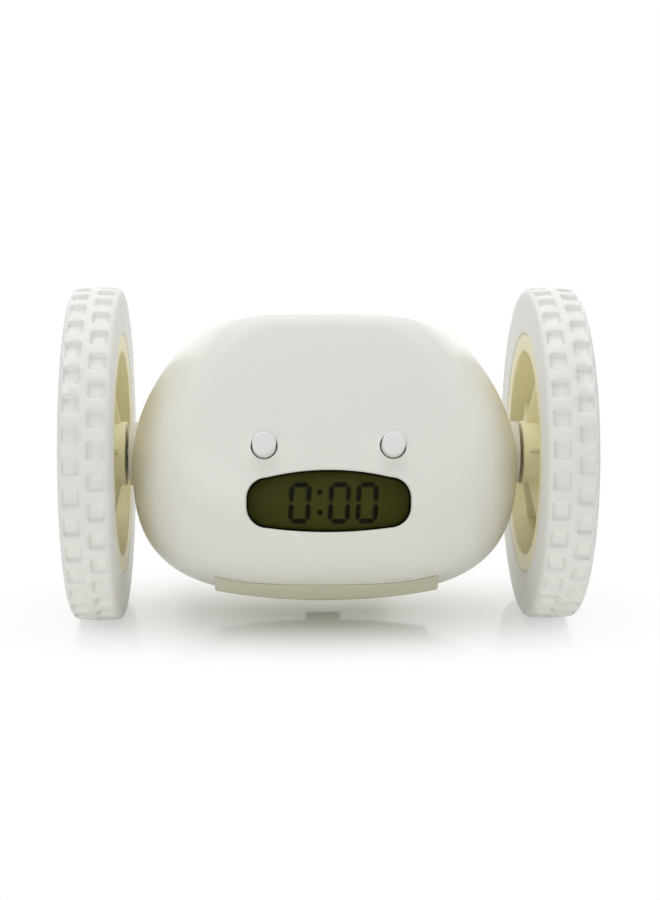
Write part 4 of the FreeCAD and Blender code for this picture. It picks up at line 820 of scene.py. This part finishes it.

# %% Window border
# A thin black strip behind the lens is painted shade: it stands in for the shaded recess and the dark
# edge of the lens round the window. It also hides the lens's step and the edges of the display.
BORDER_WIDTH, BORDER_BACK, BORDER_THICK = 0.5, 0.03, 0.1
near, far = WALL + BORDER_BACK, WALL + BORDER_BACK + BORDER_THICK
corners = ((near, LENS_BACK), (near, -BORDER_WIDTH), (far, -BORDER_WIDTH), (far, LENS_BACK))
rings = [window_ring(depth, window_outline(grow)) for depth, grow in corners]
count = len(rings[0])
faces = []
for level in range(len(corners)):
    for k in range(count):
        here, after = level * count, (level + 1) % len(corners) * count
        following = (k + 1) % count
        faces.append((here + k, here + following, after + following, after + k))
points = np.concatenate(rings)
shade_strip = smooth(solid("window_painted_shade_strip", points, faces, BODY_SPACE), 30.0)
# The strip takes the black ink finish as painted shade round the window.
dress(shade_strip, "clock_body", "ink_black")

# %% Display panel
panel_points = np.array([v.co for v in nodes["lcd_panel"].data.vertices], float)
to_body = np.array(BODY_SPACE.inverted())
panel_mm = panel_points @ to_body[:3, :3].T + to_body[:3, 3]
panel_low, panel_high = panel_mm.min(0), panel_mm.max(0)
lcd_glass = bevelled(solid("lcd_glass", *block(*zip(panel_low, panel_high)), BODY_SPACE), 0.0002)
dress(smooth(lcd_glass), "clock_body", "lcd_green", "lcd_panel")
print("panel front at y = %.2f mm" % panel_low[1])

# %% [markdown]
# ## Wheels
# A soft tyre is stretched over a stiff spoked hub. The tyre's tread has two rows of pockets with
# rounded corners and sloping walls, the second row half a pitch behind the first. We take the
# tyre's cross-section, carry it round in many small steps and sink the pockets into it.

# %% Tyre
WHEEL_INNER, TYRE_WIDTH, TYRE_BORE, BEAD_EDGE = 53.25, 12.65, 31.9, 0.25
TREAD_PITCHES, TREAD_DEPTH, TREAD_TURN = 36, 1.4, math.radians(5.0)
POCKET_LONG, POCKET_WIDE, POCKET_CORNER, ROW_GAP, INNER_BAND = 4.9, 4.1, 0.8, 2.1, 1.35
TYRE_EDGE, TREAD_CROWN, WALL_OUTSIDE, WALL_INSIDE = 1.5, 0.3, 0.2, 0.5
WHEEL_OUTER = WHEEL_INNER + TYRE_WIDTH
ROW_STARTS = [WHEEL_INNER + INNER_BAND + row * (POCKET_WIDE + ROW_GAP) for row in (0, 1)]


def pocket_depth(x, along):
    """How far the tread sinks at a place across it and along it, in millimetres."""
    pitch = 2.0 * math.pi * WHEEL_RADIUS / TREAD_PITCHES
    depth = np.zeros_like(x)
    for row, start in enumerate(ROW_STARTS):
        middle = start + POCKET_WIDE / 2.0
        nearest = (along - 0.5 * row * pitch + pitch / 2.0) % pitch - pitch / 2.0
        beside = np.abs(x - middle) - (POCKET_WIDE / 2.0 - POCKET_CORNER)
        ahead = np.abs(nearest) - (POCKET_LONG / 2.0 - POCKET_CORNER)
        gap = np.hypot(np.maximum(beside, 0.0), np.maximum(ahead, 0.0))
        gap = gap + np.minimum(np.maximum(beside, ahead), 0.0) - POCKET_CORNER
        sunk = ease((WALL_OUTSIDE - gap) / (WALL_OUTSIDE + WALL_INSIDE))
        depth = np.maximum(depth, TREAD_DEPTH * sunk)
    return depth


def tyre_section():
    """Points (x, radius) round the tyre's cross-section, close together at the pocket walls."""
    inner, outer, edge, side_top = WHEEL_INNER, WHEEL_OUTER, TYRE_EDGE, WHEEL_RADIUS - TYRE_EDGE
    side = np.linspace(TYRE_BORE + 1.0, side_top, 6)
    section = [(inner + BEAD_EDGE, TYRE_BORE), (inner, TYRE_BORE + BEAD_EDGE)]
    section += [(inner, r) for r in side]
    for angle in np.radians((22.0, 45.0, 68.0)):
        section.append((inner + edge * (1.0 - math.cos(angle)), side_top + edge * math.sin(angle)))
    across = [inner + edge]
    for start in ROW_STARTS:
        for wall, way in ((start, 1.0), (start + POCKET_WIDE, -1.0)):
            across += [wall + way * step for step in (-0.2, -0.06, 0.08, 0.22, 0.36, 0.5)]
        across.append(start + POCKET_WIDE / 2.0)
    across.append(outer - edge)
    flat = [x for x in across if inner + edge <= x <= outer - edge]
    section += [(x, WHEEL_RADIUS) for x in sorted(flat)]
    for angle in np.radians((82.0, 75.0, 68.0, 60.0, 50.0, 38.0, 20.0)):
        section.append((outer - edge * (1.0 - math.cos(angle)), side_top + edge * math.sin(angle)))
    section += [(outer, r) for r in side[::-1]]
    section += [(outer, TYRE_BORE + BEAD_EDGE), (outer - BEAD_EDGE, TYRE_BORE)]
    return np.array(section)


def tyre_mesh():
    """Points and faces of the treaded tyre, turned about X."""
    section = tyre_section()
    pitch = 2.0 * math.pi * WHEEL_RADIUS / TREAD_PITCHES
    wall = np.array([1.19, 1.34, 1.51, 1.69, 1.84, 2.0, 2.15, 2.33, 2.5, 2.65])
    marks = np.sort(np.concatenate([-wall, wall, [0.0, 3.3, -3.3, pitch / 2.0]]))
    along = np.concatenate([marks + pitch * k for k in range(TREAD_PITCHES)])
    arc, x = np.meshgrid(along, section[:, 0], indexing="ij")
    radius = np.broadcast_to(section[:, 1], arc.shape).copy()
    on_tread = radius > WHEEL_RADIUS - TYRE_EDGE
    share = (x - WHEEL_INNER) / TYRE_WIDTH
    radius = np.where(on_tread, radius - TREAD_CROWN * (2.0 * share - 1.0) ** 2, radius)
    radius = np.where(on_tread, radius - pocket_depth(x, arc), radius)
    angle = arc / WHEEL_RADIUS + TREAD_TURN
    points = np.stack([x, -radius * np.sin(angle), radius * np.cos(angle)], axis=-1).reshape(-1, 3)
    steps, count = len(along), len(section)
    faces = []
    for step in range(steps):
        after = (step + 1) % steps
        for k in range(count):
            following = (k + 1) % count
            here, there = step * count, after * count
            faces.append((here + k, there + k, there + following, here + following))
    return points, faces


tyre_points, tyre_faces = tyre_mesh()
for name, side in SIDES:
    tyre = solid("tyre_tread_" + name, flipped(tyre_points, side), tyre_faces, WHEEL_SPACE)
    dress(smooth(tyre, 60.0), "wheel_" + name, "tyre_white", "tyre_" + name)

# %% [markdown]
# ## Hubs
# Each hub is one moulding: a tube on the axle, a thin web near the outer side, five ribs and a
# rim. Ribs are drafted, which means thinner away from the web, so that they leave the mould.

# %% Hub
HUB_START, HUB_RADIUS, AXLE_RADIUS = 52.4, 8.5, 1.5
WEB_INNER, WEB_OUTER, NUT_SEAT = 60.8, 62.0, 62.4
TYRE_FIT, RIM_THICK = 0.15, 4.5
RIM_OUTER = TYRE_BORE - TYRE_FIT
RIM_INNER = RIM_OUTER - RIM_THICK
RIM_START, RIM_END = WHEEL_INNER + 0.2, WHEEL_OUTER - 0.4
RIB_COUNT, RIB_THICK, RIB_HUB_EDGE, RIB_RIM_EDGE, RIB_DRAFT, RIB_BURY = 5, 1.8, 53.9, 57.6, 0.25, 0.3


def hub_turning():
    """The turned part of the hub, with every corner softened."""
    corners = [
        (HUB_START, AXLE_RADIUS), (NUT_SEAT, AXLE_RADIUS), (NUT_SEAT, HUB_RADIUS),
        (WEB_OUTER, HUB_RADIUS), (WEB_OUTER, RIM_INNER), (RIM_END, RIM_INNER),
        (RIM_END, RIM_OUTER), (RIM_START, RIM_OUTER), (RIM_START, RIM_INNER),
        (WEB_INNER, RIM_INNER), (WEB_INNER, HUB_RADIUS), (HUB_START, HUB_RADIUS),
    ]
    return spun(closed_softened(corners, 0.4), 144)


def rib():
    """One drafted rib that points straight up from the axle."""
    thick, thin, root = RIB_THICK / 2.0, RIB_THICK / 2.0 - RIB_DRAFT, WEB_INNER + RIB_BURY
    inner, outer = HUB_RADIUS - RIB_BURY, RIM_INNER + RIB_BURY
    points = np.array([
        (root, -thick, inner), (root, thick, inner), (root, thick, outer), (root, -thick, outer),
        (RIB_HUB_EDGE, -thin, inner), (RIB_HUB_EDGE, thin, inner),
        (RIB_RIM_EDGE, thin, outer), (RIB_RIM_EDGE, -thin, outer),
    ])
    faces = [(0, 1, 2, 3), (7, 6, 5, 4), (0, 4, 5, 1), (1, 5, 6, 2), (2, 6, 7, 3), (3, 7, 4, 0)]
    return points, faces


turned_points, turned_faces = hub_turning()
rib_points, rib_faces = rib()
for name, side in SIDES:
    hub = smooth(solid("hub_" + name, flipped(turned_points, side), turned_faces, WHEEL_SPACE))
    dress(hub, "wheel_" + name, "hub_white", "wheel_hub_" + name)
    parts = []
    for step in range(RIB_COUNT):
        turn = 2.0 * math.pi * step / RIB_COUNT
        y = rib_points[:, 1] * math.cos(turn) - rib_points[:, 2] * math.sin(turn)
        z = rib_points[:, 1] * math.sin(turn) + rib_points[:, 2] * math.cos(turn)
        placed = flipped(np.stack([rib_points[:, 0], y, z], axis=1), side)
        parts.append((placed, outward(placed, rib_faces)))
    points, faces = merged(parts)
    ribs = smooth(bevelled(new_piece("hub_ribs_" + name, points, faces, WHEEL_SPACE), 0.0003))
    dress(ribs, "wheel_" + name, "hub_white")

# %% [markdown]
# ## Outer discs
# A plain disc closes the outer side of each wheel. It falls away a little towards its edge, so
# its highlight bends instead of lying flat.

# %% Caps
CAP_EDGE, CAP_OUTER = RIM_INNER - 0.05, WHEEL_OUTER - 0.5
CAP_SKIRT, CAP_THICK, CAP_SINK = 1.4, 1.2, 0.5
dome = [(CAP_OUTER - CAP_SINK * s ** 4, CAP_EDGE * s) for s in np.linspace(0.0, 0.94, 14)]
lip = softened([dome[-1], (CAP_OUTER - CAP_SINK, CAP_EDGE), (WEB_OUTER, CAP_EDGE)], 0.4)[1:]
inside = [(WEB_OUTER, CAP_EDGE - CAP_SKIRT), (CAP_OUTER - CAP_THICK, CAP_EDGE - CAP_SKIRT),
          (CAP_OUTER - CAP_THICK, 0.0)]
cap_points, cap_faces = spun(dome + lip + inside, 144, closed=False)
for name, side in SIDES:
    cap = smooth(solid("wheel_disc_" + name, flipped(cap_points, side), cap_faces, WHEEL_SPACE))
    dress(cap, "wheel_" + name, "tyre_white", "wheel_cap_" + name)

# %% [markdown]
# ## Buttons
# Two round buttons stand above the display like eyes, square to the face. Each is a short pin
# with a soft edge and a hardly domed top, inside a hole that is a little wider.

# %% Eye buttons
EYE_PROUD, EYE_DOME, EYE_SOFT, BUTTON_DEEP = 3.2, 0.12, 0.45, 5.0


def button_points(radius, proud, dome, soft, deep):
    """Outline of a round push button: (height, radius) pairs from the top centre down."""
    top = [(proud - dome * s * s, (radius - soft) * s) for s in np.linspace(0.0, 1.0, 7)]
    for angle in np.radians((15.0, 30.0, 45.0, 60.0, 75.0, 90.0)):
        drop = dome + soft * (1.0 - math.cos(angle))
        top.append((proud - drop, radius - soft * (1.0 - math.sin(angle))))
    return top + [(-deep, radius), (-deep, 0.0)]


def round_button(name, place, outward_way, up_way, outline, slot, node):
    """A lathe piece whose axis points out of the shell."""
    points, faces = spun(outline, 64, closed=False)
    side_way = np.cross(up_way, outward_way)
    points = place + points[:, :1] * outward_way + points[:, 1:2] * side_way + points[:, 2:] * up_way
    button = smooth(solid(name, points, faces, BODY_SPACE))
    return dress(button, node, slot, node)


eye_outline = button_points(EYE_RADIUS, EYE_PROUD, EYE_DOME, EYE_SOFT, BUTTON_DEEP)
for place, node in zip(EYE_PLACES, ("hour_button", "minute_button")):
    round_button("eye_" + node, place, FACE_OUT, FACE_UP, eye_outline, "button_white", node)

# %% Set buttons
SET_PROUD, SET_DOME, SET_SOFT = 1.0, 0.15, 0.5
set_outline = button_points(SET_RADIUS, SET_PROUD, SET_DOME, SET_SOFT, BUTTON_DEEP)
for side, node in ((-1.0, "alarm_set_button"), (1.0, "time_set_button")):
    x = side * SET_X
    place = np.array([x, float(meet([[x, 0.0, REAR_LEVEL]], BACK)[0]), REAR_LEVEL])
    round_button("round_" + node, place, BACK, UPWARD, set_outline, "button_white", node)

# %% Snooze bar
SNOOZE_PROUD, SNOOZE_SOFT, SNOOZE_DEEP = 0.9, 0.6, 3.0


def raised(outline, origin, heading, across, upward, proud, soft, deep):
    """A soft-edged button whose top follows the form it stands out of."""
    levels = [(-deep, 0.0)]
    for angle in np.radians((0.0, 18.0, 36.0, 54.0, 72.0, 90.0)):
        levels.append((proud - soft * (1.0 - math.sin(angle)), -soft * (1.0 - math.cos(angle))))
    rings = []
    for height, grow in levels:
        flat = outline(grow)
        base = origin + flat[:, :1] * across + flat[:, 1:] * upward
        rings.append(base + (meet(base, heading) + height)[:, None] * heading)
    rim = outline(-soft)
    for share in (0.8, 0.6, 0.4, 0.2, 0.05):
        base = origin + share * rim[:, :1] * across + share * rim[:, 1:] * upward
        rings.append(base + (meet(base, heading) + proud)[:, None] * heading)
    return np.concatenate(rings), rings_to_faces(len(rings), len(rings[0]))


points, faces = raised(
    outline_slot(SNOOZE_LENGTH, SNOOZE_BREADTH), AXLE_MIDDLE, SNOOZE_OUT, ACROSS, SNOOZE_DOWN,
    SNOOZE_PROUD, SNOOZE_SOFT, SNOOZE_DEEP,
)
snooze = smooth(solid("snooze_bar", points, faces, BODY_SPACE), 50.0)
dress(snooze, "snooze_button", "button_white", "snooze_button")

# %% Runaway switch
LEVER_SPAN, LEVER_LONG, LEVER_HALF, LEVER_PROUD = (-3.2, -0.8), 5.0, 1.2, 1.2
tip = float(meet([[0.0, 0.0, REAR_LEVEL]], BACK)[0]) + LEVER_PROUD
lever_levels = (REAR_LEVEL - LEVER_HALF, REAR_LEVEL + LEVER_HALF)
lever_box = block(LEVER_SPAN, (tip - LEVER_LONG, tip), lever_levels)
lever = bevelled(solid("runaway_switch", *lever_box, BODY_SPACE), 0.0003, 3)
dress(smooth(lever), "wheel_switch", "dark_plastic", "wheel_switch")

# %% [markdown]
# ## Battery door
# The door covers a hole in the base and stands proud of it. Its lower face is crowned, its front
# lip rolls under in a quarter round, and its sides slope in. As its upper face follows the body, we
# draw it as a height field: one grid for each face, joined round the edge.

# %% Door panel
DOOR_GAP, DOOR_SEAT, DOOR_CROWN, DOOR_SOFT = 0.3, 0.1, 150.0, 0.45
LIP_RISE, LIP_DEPTH, END_SLOPE, END_RUN = 3.6, 2.6, 3.2, 1.0
LIP_BLEND, DOOR_THINNEST = 0.3, 0.15


def spread(low, high, edge, steps):
    """Places from low to high that crowd towards both ends."""
    near = edge * np.array([0.0, 0.08, 0.2, 0.4, 0.7, 1.0])
    inner = np.linspace(low + edge, high - edge, steps)[1:-1]
    return np.concatenate([low + near, inner, high - near[::-1]])


roll = DOOR_FRONT + LIP_DEPTH * (1.0 - np.cos(np.linspace(0.0, math.pi / 2.0, 20)))
along = np.concatenate([roll, spread(DOOR_FRONT + LIP_DEPTH + 0.4, DOOR_BACK, DOOR_SOFT, 30)])
x, y = np.meshgrid(spread(-DOOR_HALF, DOOR_HALF, DOOR_SOFT, 70), along, indexing="ij")
crown = DOOR_BOTTOM + DOOR_CROWN - np.sqrt(DOOR_CROWN ** 2 - x ** 2)
before = np.clip(1.0 - (y - DOOR_FRONT) / LIP_DEPTH, 0.0, 1.0)
lip = DOOR_BOTTOM + LIP_RISE * (1.0 - np.sqrt(1.0 - before ** 2))
ends = DOOR_BOTTOM + END_SLOPE * (np.abs(x) - DOOR_HALF + END_RUN)
lip = np.maximum(lip, ends)
gap = crown - lip
lower = (crown + lip + np.sqrt(gap ** 2 + LIP_BLEND ** 2)) / 2.0
inset = np.minimum.reduce([x + DOOR_HALF, DOOR_HALF - x, y - DOOR_FRONT, DOOR_BACK - y])
lower += DOOR_SOFT - np.sqrt(DOOR_SOFT ** 2 - np.maximum(0.0, DOOR_SOFT - inset) ** 2)
starts = np.stack([x, y, 0.0 * x], axis=-1)
upper = -meet(starts, (0.0, 0.0, -1.0), DOOR_SEAT)
lower = np.minimum(lower, upper - DOOR_THINNEST)
rows, columns = x.shape
points = np.concatenate([np.stack([x, y, z], axis=-1).reshape(-1, 3) for z in (lower, upper)])
faces = []
for row in range(rows - 1):
    for column in range(columns - 1):
        corner = row * columns + column
        quad = (corner, corner + 1, corner + columns + 1, corner + columns)
        faces.append(quad)
        faces.append(tuple(index + rows * columns for index in reversed(quad)))
rim = list(range(columns)) + [row * columns + columns - 1 for row in range(1, rows)]
rim += [(rows - 1) * columns + column for column in range(columns - 2, -1, -1)]
rim += [row * columns for row in range(rows - 2, 0, -1)]
for first, second in zip(rim, rim[1:] + rim[:1]):
    faces.append((second, first, first + rows * columns, second + rows * columns))
door = smooth(solid("door_panel", points, faces, BODY_SPACE), 35.0)
# The door takes the darker door finish: painted shade for its shaded place under the body.
dress(door, "battery_door", "shell_white", "battery_door", material=FINISHES["door_painted_shade"])

# %% Door tab and plug
TAB_HALF, TAB_REACH, TAB_DROP, TAB_LAP, TAB_RISE, PLUG_FLOOR = 4.75, 2.0, 1.0, 1.0, 1.2, 3.2
tab = block(
    (-TAB_HALF, TAB_HALF),
    (DOOR_BACK - TAB_LAP, DOOR_BACK + TAB_REACH),
    (DOOR_BOTTOM - TAB_DROP, DOOR_BOTTOM + TAB_RISE),
)
plug = block(
    (-DOOR_HALF + DOOR_MARGIN + DOOR_GAP, DOOR_HALF - DOOR_MARGIN - DOOR_GAP),
    (DOOR_FRONT + DOOR_MARGIN + DOOR_GAP, HOLE_BACK - DOOR_GAP),
    (DOOR_BOTTOM + PLUG_FLOOR, PLUG_TOP),
)
for name, (points, faces) in (("door_tab", tab), ("door_plug", plug)):
    made = bevelled(solid(name, points, faces, BODY_SPACE), 0.0004, 3)
    dress(smooth(made), "battery_door", "shell_white")
